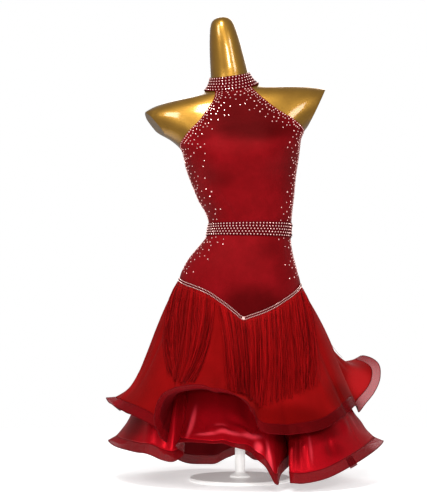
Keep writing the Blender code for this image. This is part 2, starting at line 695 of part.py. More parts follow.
def strand_sections(root):
    """A strand's sections down the tier: distance, turn, width and clearance."""
    root = (root - FALLS[0][0]) % 360 + FALLS[0][0]
    tip = next(fall(root) for start, end, fall in FALLS if start <= root < end)
    found = []
    for share in STRAND_BENDS:
        turn = root + (tip - root) * share**FALL_EASE
        width = STRAND_WIDTH * (1 + (STRAND_TIP - 1) * share)
        clearance = LAY_GAP + (STRAND_CLEAR - LAY_GAP) * math.sqrt(share)
        found.append((SEAM_GAP + HEADING_WIDTH + FRINGE_LENGTH * share, turn, width, clearance))
    return found


def make_fringe(finish):
    """A heading tape below the trim, and strands that hang from it over the upper tier."""
    pitch = 360 / STRANDS
    shape = bmesh.new()
    top = SEAM_GAP
    foot = top + HEADING_WIDTH

    def heading_pair(distance, turn, aside):
        """The inner and outer corner of the heading, aside from a strand's middle."""
        right = over_tier("upper", turn + TURN_STEP, distance, 0)[0]
        left = over_tier("upper", turn - TURN_STEP, distance, 0)[0]
        turn += aside * 2 * TURN_STEP / (right - left).length
        outs = (SKIRT_WALL + LAY_GAP, SKIRT_WALL + LAY_GAP + TAPE)
        return [shape.verts.new(over_tier("upper", turn, distance, out)[0]) for out in outs]

    def strand_ring(distance, turn, width, clearance):
        """A three-sided section, flat towards the cloth."""
        inner, normal = over_tier("upper", turn, distance, SKIRT_WALL + clearance)
        right = over_tier("upper", turn + TURN_STEP, distance, SKIRT_WALL + clearance)[0]
        across = (right - inner).normalized()
        corners = (inner - across * width / 2, inner + normal * STRAND_THICK, inner + across * width / 2)
        return [shape.verts.new(corner) for corner in corners]

    columns = []
    for i in range(STRANDS):
        turn = V_TURN + pitch * i
        for side in (-0.5, 0.5):
            aside = side * STRAND_WIDTH
            columns.append([heading_pair(top, turn, aside), heading_pair(foot, turn, aside)])
    for k, (high, low) in enumerate(columns):
        next_high, next_low = columns[(k + 1) % len(columns)]
        shape.faces.new((high[1], low[1], next_low[1], next_high[1]))
        shape.faces.new((high[0], next_high[0], next_low[0], low[0]))
        shape.faces.new((high[0], high[1], next_high[1], next_high[0]))
        if k % 2:
            shape.faces.new((low[0], next_low[0], next_low[1], low[1]))
    for i in range(STRANDS):
        turn = V_TURN + pitch * i
        (a, b), (c, d) = columns[2 * i][1], columns[2 * i + 1][1]
        rings = [strand_ring(*section) for section in strand_sections(turn)]
        left, ridge, right = rings[0]
        shape.faces.new((a, c, right, left))
        shape.faces.new((a, left, ridge, b))
        shape.faces.new((c, d, ridge, right))
        shape.faces.new((b, ridge, d))
        for above, below in zip(rings, rings[1:]):
            for k in range(3):
                n = (k + 1) % 3
                shape.faces.new((above[k], above[n], below[n], below[k]))
        shape.faces.new(rings[-1])
    bmesh.ops.recalc_face_normals(shape, faces=shape.faces)
    mesh = bpy.data.meshes.new("fringe")
    shape.to_mesh(mesh)
    shape.free()
    show("fringe", mesh, finish)


def main():
    for obj in list(bpy.data.objects):
        bpy.data.objects.remove(obj)
    velvet = material("wine red stretch velvet", (0.30, 0.008, 0.014), 0.55)
    satin = material("red satin", (0.45, 0.006, 0.02), 0.30)
    crepe = material("red stretch crepe", (0.42, 0.008, 0.012), 0.60)
    crin = material("red crin braid", (0.45, 0.05, 0.06), 0.45)
    yarn = material("red rayon fringe", (0.36, 0.006, 0.010), 0.50)
    stones = material("clear stones on red tape", (0.80, 0.55, 0.55), 0.20)
    gold = material("gold lacquered glass fibre", (0.62, 0.36, 0.06), 0.25, 0.6)
    white = material("white powder-coated steel", (0.85, 0.85, 0.84), 0.40)

    make_form(gold)
    make_stand(white)
    make_collar(stones)
    make_bodice_front(velvet)
    make_bodice_back(velvet)
    make_belt(stones)
    make_trim(stones)
    make_fringe(yarn)
    make_tier("upper", crepe, crin)
    make_tier("lower", satin, crin)


main()
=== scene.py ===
# %% [markdown]
# # A salsa dance dress, finished in Blender
#
# The dress is a halter bodice of wine red stretch velvet with an open back, a collar and a belt
# covered with flat-back stones, a rayon fringe that hangs from a V-shaped hip line, and two flared
# skirt tiers that are stiffened with crin braid. It stands on a gold dress form.
#
# The plain model gives every place and size. Each cell below reads one of its pieces, makes the
# surface as smooth as real cloth, and adds what the plain model leaves out: folds, stones, yarn,
# edges and the finish of each material. Everything is in metres, +Z is up, and the dress faces -Y.

# %% The frame that everything is fitted to
import math
import random

import bmesh
import bpy
import numpy as np
from mathutils import Matrix, Vector
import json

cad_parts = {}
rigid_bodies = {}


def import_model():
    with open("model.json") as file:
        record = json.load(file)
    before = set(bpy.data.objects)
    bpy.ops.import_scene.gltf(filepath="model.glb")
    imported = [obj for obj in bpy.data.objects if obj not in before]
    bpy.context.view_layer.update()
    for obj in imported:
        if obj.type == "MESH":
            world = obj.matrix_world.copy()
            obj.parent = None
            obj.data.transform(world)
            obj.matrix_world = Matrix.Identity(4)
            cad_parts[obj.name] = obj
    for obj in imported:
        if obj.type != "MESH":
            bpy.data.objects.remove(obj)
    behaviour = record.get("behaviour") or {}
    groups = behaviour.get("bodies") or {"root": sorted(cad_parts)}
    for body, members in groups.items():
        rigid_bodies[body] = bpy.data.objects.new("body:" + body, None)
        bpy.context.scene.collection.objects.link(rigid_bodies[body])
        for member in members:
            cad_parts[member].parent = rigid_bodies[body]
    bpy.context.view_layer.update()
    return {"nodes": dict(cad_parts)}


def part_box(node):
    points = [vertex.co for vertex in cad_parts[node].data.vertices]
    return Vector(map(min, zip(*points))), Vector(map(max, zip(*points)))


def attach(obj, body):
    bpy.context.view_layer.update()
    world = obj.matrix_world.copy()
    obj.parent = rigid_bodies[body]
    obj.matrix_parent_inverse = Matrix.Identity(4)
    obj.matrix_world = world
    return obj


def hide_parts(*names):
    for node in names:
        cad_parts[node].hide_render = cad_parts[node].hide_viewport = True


for leftover in list(bpy.data.objects):
    bpy.data.objects.remove(leftover)
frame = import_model()
MM = 0.001
print("pieces in the frame:", ", ".join(sorted(frame["nodes"])))

# %% [markdown]
# ## Reading a wall of cloth
#
# In the plain model a piece of cloth is a thin wall: an inner and an outer sheet of the same
# columns and rows, joined round the rim. To get the outer sheet back, the rim is deleted: it is
# made of the triangles that have an edge exactly as long as the wall is thick. What is left is two
# sheets of triangles. Neighbouring rows touch and rows further apart don't, so a point's row is the
# number of steps from it to the top edge. That holds whichever way the cells were cut in two.

# %% Rows and columns of an outer sheet
WALLS = {
    "collar": 2.0 * MM, "belt": 2.0 * MM, "hip_trim": 1.2 * MM,
    "bodice_front": 1.4 * MM, "bodice_back": 1.4 * MM,
    "skirt_upper": 1.1 * MM, "skirt_lower": 1.1 * MM,
    "crin_upper": 1.0 * MM, "crin_lower": 1.0 * MM,
}
WELD = 0.01 * MM
WALL_LIMIT = 0.02 * MM


def in_line(row, near):
    """The points of one row, walked from one to the next."""
    ends = [v for v in sorted(row) if len(near[v] & row) == 1]
    line = [ends[0] if ends else min(row)]
    left = set(row) - {line[0]}
    while left:
        ahead = near[line[-1]] & left
        line.append(min(ahead) if ahead else min(left))
        left.discard(line[-1])
    return line


def edge_loops(edge, near_on_edge):
    """The free edges of all the sheets, each as one closed line of points."""
    left = set(edge)
    loops = []
    while left:
        line = [min(left)]
        left.discard(line[0])
        while near_on_edge[line[-1]] & left:
            line.append(min(near_on_edge[line[-1]] & left))
            left.discard(line[-1])
        loops.append(line)
    return loops


def under(above, row, near, co, closed):
    """A row put in order, so that each point lies under its neighbour in the row above."""
    line = in_line(row, near)
    turns = range(len(line)) if closed else (0,)
    orders = [way[k:] + way[:k] for way in (line, line[::-1]) for k in turns]

    def misfit(order):
        apart = sum(v not in near[w] for v, w in zip(above, order))
        return apart, sum((co[v] - co[w]).length for v, w in zip(above, order))

    return min(orders, key=misfit)


def read_sheet(source):
    """The outer sheet of a wall, as an array of columns of points, and whether it closes on itself.

    Columns run round to +X as seen from the front, and each runs down from the top edge."""
    shape = bmesh.new()
    shape.from_mesh(bpy.data.objects[source].data)
    bmesh.ops.remove_doubles(shape, verts=shape.verts, dist=WELD)
    rim = [f for f in shape.faces
           if any(abs(e.calc_length() - WALLS[source]) < WALL_LIMIT for e in f.edges)]
    bmesh.ops.delete(shape, geom=rim, context="FACES")
    shape.verts.index_update()
    co = [v.co.copy() for v in shape.verts]
    near = [{e.other_vert(v).index for e in v.link_edges} for v in shape.verts]
    on_edge = [{e.other_vert(v).index for e in v.link_edges if e.is_boundary} for v in shape.verts]
    loops = edge_loops([v.index for v in shape.verts if v.is_boundary], on_edge)
    shape.free()

    def height(line):
        return sum(co[v].z for v in line) / len(line)

    def reach(line):
        return sum(co[v].xy.length for v in line) / len(line)

    closed = len(loops) == 4
    top = max(sorted(loops, key=height)[-2:] if closed else loops, key=reach)
    if not closed:
        half = len(top) / 2 + 2
        count = len(co) / 2
        columns = round((half + math.sqrt(half * half - 4 * count)) / 2)
        runs = [(top[k:] + top[:k])[:columns] for k in range(len(top))]
        top = max(runs, key=height)
    area = sum(co[a].x * co[b].y - co[a].y * co[b].x for a, b in zip(top, top[1:]))
    top = top if area > 0 else top[::-1]
    if closed:
        behind = max(range(len(top)), key=lambda k: co[top[k]].y)
        top = top[behind:] + top[:behind]
    rows = [top]
    seen = set(top)
    while True:
        row = set().union(*(near[v] for v in rows[-1])) - seen
        if not row:
            break
        seen |= row
        rows.append(under(rows[-1], row, near, co, closed))
    grid = np.array([[co[row[c]] for row in rows] for c in range(len(top))])
    print(f"{source}: {grid.shape[0]} columns of {grid.shape[1]} points, closed: {closed}")
    return grid, closed


# %% [markdown]
# ## From facets to cloth
#
# Real cloth has no facets. A smooth curve is drawn through the points of each row, and then through
# the points of each column, so that the fine sheet still passes through every point it was given.
# Catmull-Rom curves do that. A subdivision surface would round the flutes off instead.
#
# The fine sheet also knows, for each column, the bearing of its top point round the figure, and for
# each point how far down the cloth it is. Stones, folds and fringe are placed by these two numbers.


# %% A smooth sheet
def curve_through(points, parts, closed):
    """Cuts each step along the first axis in parts, on a smooth curve through all the points."""
    if closed:
        points = np.concatenate([points[-1:], points, points[:2]])
    steps = np.linalg.norm(np.diff(points, axis=0), axis=-1).reshape(len(points) - 1, -1).mean(1)
    slopes = np.diff(points, axis=0) / steps[:, None, None]
    before, after = steps[:-1, None, None], steps[1:, None, None]
    inner = (slopes[:-1] * after + slopes[1:] * before) / (before + after)
    # At a free end the slope is that of a parabola through the last points.
    first = 1.5 * slopes[:1] - 0.5 * inner[:1] if len(inner) else slopes[:1]
    last = 1.5 * slopes[-1:] - 0.5 * inner[-1:] if len(inner) else slopes[:1]
    tangents = np.concatenate([first, inner, last])
    if closed:
        points, tangents, steps = points[1:-1], tangents[1:-1], steps[1:-1]
    fine = []
    for k in range(len(points) - 1):
        for s in np.arange(parts) / parts:
            rise = (3 - 2 * s) * s * s
            pull = tangents[k] * (s * (1 - s) ** 2) + tangents[k + 1] * (s * s * (s - 1))
            fine.append(points[k] + (points[k + 1] - points[k]) * rise + pull * steps[k])
    return np.array([*fine, points[-1]])


ROUND_THE_BODY = ("collar", "belt")  # bearings on these are taken round their own middle


class Sheet:
    """A smooth sheet of cloth: an array of columns of points. The last column of a ring is its first."""

    def __init__(self, source, across, down):
        coarse, self.closed = read_sheet(source)
        low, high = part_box(source)
        middle = [(low[k] + high[k]) / 2 for k in (0, 1)]
        self.axis = np.array(middle if source in ROUND_THE_BODY else (0, 0))
        points = curve_through(coarse, across, self.closed)
        self.points = curve_through(points.swapaxes(0, 1), down, False).swapaxes(0, 1)
        self.measure()

    def measure(self):
        """Works out bearings, distances down the cloth and normals from the points."""
        top = self.points[:, 0, :2] - self.axis
        bearings = np.degrees(np.unwrap(np.arctan2(top[:, 0], -top[:, 1])))
        self.bearings = bearings - 360 * round((bearings[0] + 180) / 360)
        steps = np.linalg.norm(np.diff(self.points, axis=1), axis=2)
        self.drops = np.pad(np.cumsum(steps, axis=1), ((0, 0), (1, 0)))
        steps = np.linalg.norm(np.diff(self.points, axis=0), axis=2)
        self.alongs = np.pad(np.cumsum(steps, axis=0), ((1, 0), (0, 0)))
        if self.closed:
            ring = np.concatenate([self.points[-2:-1], self.points, self.points[1:2]])
            across = ring[2:] - ring[:-2]
        else:
            across = np.gradient(self.points, axis=0)
        along = np.gradient(self.points, axis=1)
        normals = np.cross(along, across)
        self.normals = normals / np.linalg.norm(normals, axis=2, keepdims=True)

    def close(self):
        """Joins a ring up again after its points were moved, and measures it."""
        if self.closed:
            self.points[-1] = self.points[0]
        self.measure()

    def push(self, heights):
        """Moves each point out along its normal."""
        self.points = self.points + self.normals * heights[:, :, None]
        self.close()

    def spot(self, column, row, out=0.0):
        """A point over the sheet and the way out of it. The column and row may lie between two."""
        c = min(int(column), self.points.shape[0] - 2)
        r = min(int(row), self.points.shape[1] - 2)
        point, normal = np.zeros(3), np.zeros(3)
        for k, weight in ((c, 1 - column + c), (c + 1, column - c)):
            for j, share in ((r, 1 - row + r), (r + 1, row - r)):
                point += self.points[k, j] * weight * share
                normal += self.normals[k, j] * weight * share
        normal /= np.linalg.norm(normal)
        return Vector(point + normal * out), Vector(normal)

    def at(self, bearing, drop, out=0.0):
        """The same, from a bearing and a distance down the cloth."""
        start = self.bearings[0]
        bearing = (bearing - start) % 360 + start if self.closed else bearing
        column = float(np.interp(bearing, self.bearings, range(len(self.bearings))))
        c = min(int(column), len(self.bearings) - 2)
        drops = self.drops[c] * (1 - column + c) + self.drops[c + 1] * (column - c)
        return self.spot(column, float(np.interp(drop, drops, range(len(drops)))), out)

    def beside(self, row, distance):
        """The same, from a row and a distance along it from the first column, or back from the last."""
        lengths = self.alongs[:, int(row)]
        distance = distance if distance >= 0 else lengths[-1] + distance
        return self.spot(float(np.interp(distance, lengths, range(len(lengths)))), row)


# %% [markdown]
# ## How fine each sheet is
#
# The skirt's plain rings have 80 columns, which is one every 30 mm at the hem, and cloth that turns
# over a flute needs a point every few millimetres. So each step between two columns, and between two
# rows, is cut into the number of parts given here. Narrow bands hardly bend down their height, so
# they need few rows. More parts than this only make the model heavier.


# %% Read all the sheets
FINENESS = {
    "collar": (4, 4), "belt": (4, 6), "hip_trim": (5, 2), "bodice_front": (5, 4), "bodice_back": (5, 6),
    "skirt_upper": (6, 9), "skirt_lower": (6, 9), "crin_upper": (6, 8), "crin_lower": (6, 8),
}
sheets = {source: Sheet(source, *parts) for source, parts in FINENESS.items()}
for source, sheet in sheets.items():
    print(source, sheet.points.shape[:2], "bearings", sheet.bearings[[0, -1]].round(1),
          "drop", sheet.drops[:, -1].min().round(3), "to", sheet.drops[:, -1].max().round(3))


def placed_at(sheet, bearing, share):
    """Column and row at a bearing and a share of the way down."""
    column = int(np.abs((sheet.bearings - bearing + 180) % 360 - 180).argmin())
    drops = sheet.drops[column]
    return column, int(np.abs(drops - share * drops[-1]).argmin())


# %% [markdown]
# ## Adding nodes
#
# Every finish below is a small node tree. One function adds a node, and one sets or links the sockets
# of any node. Colours are written as sRGB hex values and turned to linear ones. Many finishes are
# mottled: their colour drifts a little, because dye and lacquer never lie quite evenly. Others keep a
# number on each point of the cloth, which says how strongly a second colour shows there.


# %% Finishes
def colour(text, alpha=1.0):
    """The linear colour of an sRGB hex value."""
    parts = [int(text[k : k + 2], 16) / 255 for k in (1, 3, 5)]
    linear = [c / 12.92 if c <= 0.04045 else ((c + 0.055) / 1.055) ** 2.4 for c in parts]
    return (*linear, alpha)


def plug(made, sockets):
    """Sets a node's sockets. A text is a hex colour, and a node is linked by its first output."""
    for name, value in sockets.items():
        if isinstance(value, bpy.types.Node):
            value = next(output for output in value.outputs if output.enabled)
        if isinstance(value, bpy.types.NodeSocket):
            made.id_data.links.new(value, made.inputs[name])
        else:
            made.inputs[name].default_value = colour(value) if isinstance(value, str) else value


def node(tree, kind, sockets=None, stops=(), **settings):
    """Adds a node with its settings, its sockets and, if it is a ramp, its (place, colour) stops."""
    made = tree.nodes.new("ShaderNode" + kind)
    for name, value in settings.items():
        setattr(made, name, value)
    plug(made, sockets or {})
    if stops:
        elements = made.color_ramp.elements
        while len(elements) < len(stops):
            elements.new(0.5)
        for element, (place, text) in zip(elements, stops):
            element.position = place
            element.color = colour(text)
    return made


def finish(name, **sockets):
    """A new material, its node tree and its shader with these sockets set."""
    made = bpy.data.materials.new(name)
    made.use_nodes = True
    tree = made.node_tree
    shader = tree.nodes["Principled BSDF"]
    plug(shader, {socket.replace("_", " "): value for socket, value in sockets.items()})
    return made, tree, shader


def per_metre(size):
    """The scale of a noise texture whose features are this long in metres."""
    return 1 / size


def marked(tree, tone, mark, other, blend="MIX"):
    """A colour mixed with another one, as strongly as each point of the cloth is marked."""
    strength = node(tree, "Attribute", attribute_name=mark).outputs["Fac"]
    return node(tree, "Mix", {"Factor": strength, "A": tone, "B": other},
                data_type="RGBA", blend_type=blend)


def mottled_finish(name, size, detail, dark, pale, bump=0.0, depth=0.0, **sockets):
    """A finish whose colour drifts between two tones. The same pattern can make it uneven."""
    made, tree, shader = finish(name, **sockets)
    place = node(tree, "TexCoord").outputs["Object"]
    pattern = node(tree, "TexNoise", {"Vector": place, "Scale": per_metre(size), "Detail": detail})
    tone = node(tree, "ValToRGB", {"Fac": pattern}, stops=((0.3, dark), (0.7, pale)))
    plug(shader, {"Base Color": tone})
    if bump:
        uneven = node(tree, "Bump", {"Height": pattern, "Strength": bump, "Distance": depth})
        plug(shader, {"Normal": uneven})
    return made


# %% [markdown]
# ## Velvet, crepe, satin, crin and yarn
#
# **Velvet** is a knitted ground with a short cut pile. The pile scatters light at grazing angles,
# which the shader's sheen does, and lies one way or the other in patches, which a soft noise does.
#
# **Crepe** is matt, because its threads are twisted hard and lie in all directions.
#
# **Satin** has long floating threads that all lie the same way, so it is much glossier, and its
# highlights keep the colour of the threads.
#
# **Crin** is a flat braid of stiff nylon. Light passes between its slanted threads.
#
# Nylon, polyester and rayon have an IOR of 1.5 to 1.6, close to the shader's own 1.5, which is kept.
# Light that enters a thread comes back dyed, so highlights on cloth are tinted and weaker than on a
# solid of the same stuff: the specular level is below its usual 0.5 on every cloth.


# %% The cloth finishes
WAVE_LENGTH = math.tau / 20  # of a wave texture at a scale of 1


def velvet_finish():
    """Brushed nylon pile: a deep soft red with a faint glow at the edges. Roughness is 0.5 to 0.8."""
    made, tree, shader = finish("wine red stretch velvet", Roughness=0.5, Sheen_Weight=0.10,
                                Sheen_Roughness=0.3, Sheen_Tint="#ff2420", Specular_Tint="#ff5050",
                                Specular_IOR_Level=0.28)
    place = node(tree, "TexCoord").outputs["Object"]
    brushed = node(tree, "TexNoise",
                   {"Vector": place, "Scale": per_metre(90 * MM), "Detail": 9.0, "Roughness": 0.72})
    tone = node(tree, "ValToRGB", {"Fac": brushed},
                stops=((0.3, "#6d080d"), (0.5, "#7b0a10"), (0.72, "#8b0d15")))
    # Painted shade darkens the velvet in patches; the front keeps how strongly on its points.
    tone = marked(tree, tone, "painted_velvet_shade", "#886c6c", "MULTIPLY")
    # The pile is drawn four times as coarse as it is, so that it shows.
    pile = node(tree, "TexNoise", {"Vector": place, "Scale": per_metre(1.2 * MM), "Detail": 2.0})
    bump = node(tree, "Bump", {"Height": pile, "Strength": 0.7, "Distance": 0.5 * MM})
    plug(shader, {"Base Color": tone, "Normal": bump})
    return made


def crepe_finish():
    """Polyester crepe, woven of hard-twisted yarn: matt and pebbly. Roughness is 0.7 to 0.9."""
    made, tree, shader = finish("red stretch crepe", Roughness=0.75, Sheen_Weight=0.08,
                                Sheen_Roughness=0.4, Sheen_Tint="#ff3020", Specular_Tint="#ff5040",
                                Specular_IOR_Level=0.2)
    place = node(tree, "TexCoord").outputs["Object"]
    mean_tint = node(tree, "TexNoise", {"Vector": place, "Scale": per_metre(90 * MM), "Detail": 2.0})
    tone = node(tree, "ValToRGB", {"Fac": mean_tint},
                stops=((0.3, "#7e0809"), (0.6, "#8d0a0c"), (0.8, "#9a0d0f")))
    # The cloth keeps on its points painted shade where it turns under, and where one layer lets light
    # through.
    tone = marked(tree, tone, "shade", "#bc9090", "MULTIPLY")
    tone = marked(tree, tone, "thin", "#d02428")
    # The pebbles are drawn about three times as coarse as they are, so that they show.
    pebble = node(tree, "TexVoronoi", {"Vector": place, "Scale": per_metre(1.4 * MM)})
    bump = node(tree, "Bump", {"Height": pebble, "Strength": 0.3, "Distance": 0.15 * MM})
    plug(shader, {"Base Color": tone, "Normal": bump})
    return made


def satin_finish():
    """Filament satin: broad bright gleams in the colour of the thread, which a part of metal gives.
    Roughness is 0.25 to 0.4."""
    made, tree, shader = finish("red satin", Roughness=0.3, Metallic=0.35, Specular_Tint="#ff4858",
                                Specular_IOR_Level=0.35)
    place = node(tree, "TexCoord").outputs["UV"]
    # Slubs are 12 mm long; their width is drawn about four times as coarse as a thread.
    threads = node(tree, "Mapping", {"Vector": place, "Scale": (1 / (1.2 * MM), 1 / (12 * MM), 1)})
    slub = node(tree, "TexNoise", {"Vector": threads, "Scale": 1.0, "Detail": 2.0})
    tone = node(tree, "ValToRGB", {"Fac": slub}, stops=((0.3, "#a00a14"), (0.7, "#b00c19")))
    # Painted shade darkens the satin in its folds and under the tier above, and painted highlights
    # make it paler along the sharp bends of its flare.
    tone = marked(tree, tone, "shade", "#9a7c7c", "MULTIPLY")
    tone = marked(tree, tone, "gleam", "#ff4252")
    bump = node(tree, "Bump", {"Height": slub, "Strength": 0.12, "Distance": 0.1 * MM})
    plug(shader, {"Base Color": tone, "Normal": bump})
    return made


def crin_finish():
    """Nylon monofilament braid: a dim see-through net of slanted threads. Roughness is 0.4 to 0.6."""
    made, tree, shader = finish("red crin braid", Roughness=0.5, Specular_Tint="#ff6060",
                                Specular_IOR_Level=0.15)
    place = node(tree, "TexCoord").outputs["UV"]
    heights = []
    for slant in (45, -45):
        # Real threads lie 0.8 mm apart; these lie 2.2 mm apart, so that they show.
        turned = node(tree, "Mapping", {"Vector": place, "Rotation": (0, 0, math.radians(slant))})
        wave = node(tree, "TexWave", {"Vector": turned, "Scale": WAVE_LENGTH / (2.2 * MM)},
                    bands_direction="X")
        heights.append(wave.outputs["Fac"])
    thread = node(tree, "Math", {0: heights[0], 1: heights[1]}, operation="MAXIMUM")
    tone = node(tree, "ValToRGB", {"Fac": thread}, stops=((0.2, "#60050b"), (0.8, "#7c0910")))
    # Painted shade darkens the braid where it is marked, along the front of the upper hem.
    tone = marked(tree, tone, "shade", "#a88c8c", "MULTIPLY")
    # Where the braid stands alone, light comes through it; it keeps that on its points.
    tone = marked(tree, tone, "thin", "#b4202c")
    alone = node(tree, "Attribute", attribute_name="thin").outputs["Fac"]
    cover = node(tree, "MapRange",
                 {"Value": thread, "From Min": 0.45, "From Max": 0.8, "To Min": 0.76, "To Max": 0.96})
    less = node(tree, "Math", {0: alone, 1: 0.3}, operation="MULTIPLY")
    kept = node(tree, "Math", {0: cover, 1: less}, operation="SUBTRACT")
    bump = node(tree, "Bump", {"Height": thread, "Strength": 0.25, "Distance": 0.2 * MM})
    plug(shader, {"Base Color": tone, "Alpha": kept, "Normal": bump})
    return made


def yarn_finish():
    """Twisted rayon chainette: a silky red that differs from strand to strand. Roughness is 0.4 to 0.5."""
    made, tree, shader = finish("red rayon yarn", Roughness=0.45, Specular_Tint="#ff5048",
                                Specular_IOR_Level=0.3)
    # Each strand took up the dye a little differently, and strands rooted round two bearings are
    # darker; that shade is kept on its points.
    strand = node(tree, "Attribute", attribute_name="shade").outputs["Fac"]
    tone = node(tree, "ValToRGB", {"Fac": strand},
                stops=((0.0, "#4a0305"), (0.5, "#86080a"), (1.0, "#b40f13")))
    plug(shader, {"Base Color": tone})
    return made


velvet, crepe, satin = velvet_finish(), crepe_finish(), satin_finish()
crin, yarn = crin_finish(), yarn_finish()
# The ribbon under the stones has a short dull pile, drawn coarser than it is, and hardly a highlight.
tape = mottled_finish("wine red velvet ribbon", 1.5 * MM, 1.0, "#4a040a", "#60070e", 0.3, 0.2 * MM,
                      Roughness=0.7, Specular_Tint="#ff5050", Specular_IOR_Level=0.1)
# The back of satin shows the short ends of the floats, so it is darker and has no gleam.
reverse = mottled_finish("dull reverse of red satin", 60 * MM, 2.0, "#50050a", "#62070d",
                         Roughness=0.65, Specular_Tint="#ff5050", Specular_IOR_Level=0.15)
print("cloth finishes:", ", ".join(m.name for m in (velvet, crepe, satin, reverse, crin, yarn, tape)))

# %% [markdown]
# ## Folds
#
# Cloth that hangs from a curved seam breaks into soft folds that nobody can space evenly. Each fold
# here is a ridge or a trough with its own place: the bearing it starts at, how far down it starts
# and ends as shares of the drop, its height at the middle (a trough is below zero), its half width
# and how far it drifts aside. They are pushed out along the cloth's own normals. A dent is a short
# swell or hollow in one place.


# %% Listed folds
SWELL = 1.2  # above 1, a fold that dies away at both ends rises from nothing more gently


def fold(sheet, folds):
    """Pushes ridges and troughs into a sheet: (bearing, start, end, height, half width, drift), in mm."""
    share = sheet.drops / sheet.drops[:, -1:]
    spacing = np.linalg.norm(np.diff(sheet.points, axis=0), axis=2)
    spacing = np.concatenate([spacing, spacing[:1] if sheet.closed else spacing[-1:]])
    metres_per_degree = spacing / np.gradient(sheet.bearings)[:, None]
    heights = np.zeros(share.shape)
    for bearing, start, end, height, half_width, drift in folds:
        along = np.clip((share - start) / (end - start), 0, 1)
        swell = np.sin(np.pi * along) ** SWELL if end < 1 else np.sin(np.pi / 2 * along)
        off = sheet.bearings[:, None] - (bearing + drift * along)
        off = (off + 180) % 360 - 180 if sheet.closed else off
        off = off * metres_per_degree
        heights += height * MM * swell * np.exp(-((off / (half_width * MM)) ** 2))
    sheet.push(heights)


def dent(sheet, dents):
    """Pushes swells and hollows into a sheet: (bearing, share, height, half across, half down), in mm."""
    heights = np.zeros(sheet.drops.shape)
    for bearing, share, height, half_across, half_down in dents:
        column, row = placed_at(sheet, bearing, share)
        across = (sheet.alongs[:, row] - sheet.alongs[column, row])[:, None] / (half_across * MM)
        down = (sheet.drops - sheet.drops[column, row]) / (half_down * MM)
        heights += height * MM * np.exp(-(across**2) - down**2)
    sheet.push(heights)


# %% [markdown]
# ## The folds of each piece
#
# Stretch velvet lies flat on the form and only drags a little above the belt and over the hips.
# The upper tier is cut full, so it breaks into soft folds below the hip line. The satin tier hangs
# lower and carries broader folds, and it buckles where its flare turns outwards. A braid is sewn to
# the foot of each tier, so it moves as the foot below each of its points moves.


# %% Fold the cloth
VELVET_FOLDS = (
    (-30, 0.50, 0.66, -1.2, 9, 8), (-12, 0.52, 0.66, 0.9, 8, -4), (9, 0.50, 0.65, -1.0, 10, 3),
    (19, 0.46, 0.66, 0.9, 8, -5), (-36, 0.68, 0.86, 0.8, 9, 7), (16, 0.70, 0.88, -0.9, 9, -4),
)
UPPER_FOLDS = (
    (-100, 0.55, 1.0, 7, 30, 4), (-88, 0.10, 1.0, 5, 12, 4), (-74, 0.05, 0.95, -5, 11, -5),
    (-60, 0.12, 1.0, 4, 10, 6), (-49, 0.08, 0.9, -4, 9, 3), (-30, 0.05, 0.9, 3, 9, -3),
    (-14, 0.10, 1.0, -4, 12, 4), (2, 0.12, 0.9, 4, 11, 3), (17, 0.06, 1.0, -5, 10, 4),
    (30, 0.10, 0.95, 4, 10, -4), (44, 0.10, 1.0, -4, 12, 3), (60, 0.05, 0.9, 4, 10, 5),
    (74, 0.08, 1.0, -4, 11, -3), (88, 0.10, 0.95, 5, 12, 4), (101, 0.06, 0.9, -4, 10, 4),
    (122, 0.10, 1.0, 4, 12, -5), (138, 0.05, 0.9, -5, 11, 3), (157, 0.10, 1.0, 4, 10, 5),
    (174, 0.08, 0.95, -4, 12, -4), (191, 0.10, 0.9, 4, 10, 3), (209, 0.06, 1.0, -5, 12, 5),
    (228, 0.10, 0.9, 4, 11, -3), (248, 0.06, 1.0, -4, 12, 4),
)
LOWER_FOLDS = (
    (-80, 0.35, 1.0, 5, 18, 6), (-58, 0.30, 0.95, -6, 16, -5), (-34, 0.35, 1.0, 5, 15, 5),
    (-10, 0.30, 1.0, -6, 18, 4), (14, 0.40, 0.95, 5, 14, -4), (38, 0.30, 1.0, -6, 16, 6),
    (62, 0.35, 1.0, 5, 18, -5), (86, 0.30, 0.95, -6, 16, 4), (112, 0.35, 1.0, 5, 17, 5),
    (139, 0.30, 1.0, -6, 15, -4), (166, 0.40, 0.95, 5, 18, 4), (195, 0.30, 1.0, -6, 16, 5),
    (222, 0.35, 1.0, 5, 17, -5), (250, 0.30, 0.95, -6, 16, 4),
)
SATIN_DENTS = (  # satin buckles where the flare turns outwards
    (-47, 0.90, 5, 9, 40), (-40, 0.86, -4, 12, 26), (-30, 0.90, 5, 34, 11), (-12, 0.87, 5, 30, 12),
    (-20, 0.80, -4, 26, 13), (2, 0.93, 4, 16, 22), (12, 0.92, -4, 12, 30), (63, 0.86, 5, 10, 34),
    (71, 0.90, -4, 11, 26), (80, 0.84, 5, 16, 18), (92, 0.80, -4, 13, 24), (101, 0.88, 4, 15, 20),
    (130, 0.84, 5, 14, 26), (148, 0.90, -4, 18, 20), (172, 0.86, 4, 22, 16), (203, 0.82, -5, 15, 28),
    (231, 0.90, 5, 20, 18), (256, 0.85, -4, 16, 22),
)
dent(sheets["skirt_lower"], SATIN_DENTS)
fold(sheets["bodice_front"], VELVET_FOLDS)
for tier, folds in (("upper", UPPER_FOLDS), ("lower", LOWER_FOLDS)):
    flare, braid = sheets["skirt_" + tier], sheets["crin_" + tier]
    foot = flare.points[:, -1].copy()
    fold(flare, folds)
    moved = flare.points[:, -1] - foot
    apart = np.linalg.norm(braid.points[:, None, 0] - foot[None], axis=2)
    braid.points = braid.points + moved[apart.argmin(axis=1)][:, None]
    braid.close()
    print(f"{tier} tier: {len(folds)} folds, its foot moves up to {np.abs(moved).max() / MM:.1f} mm")

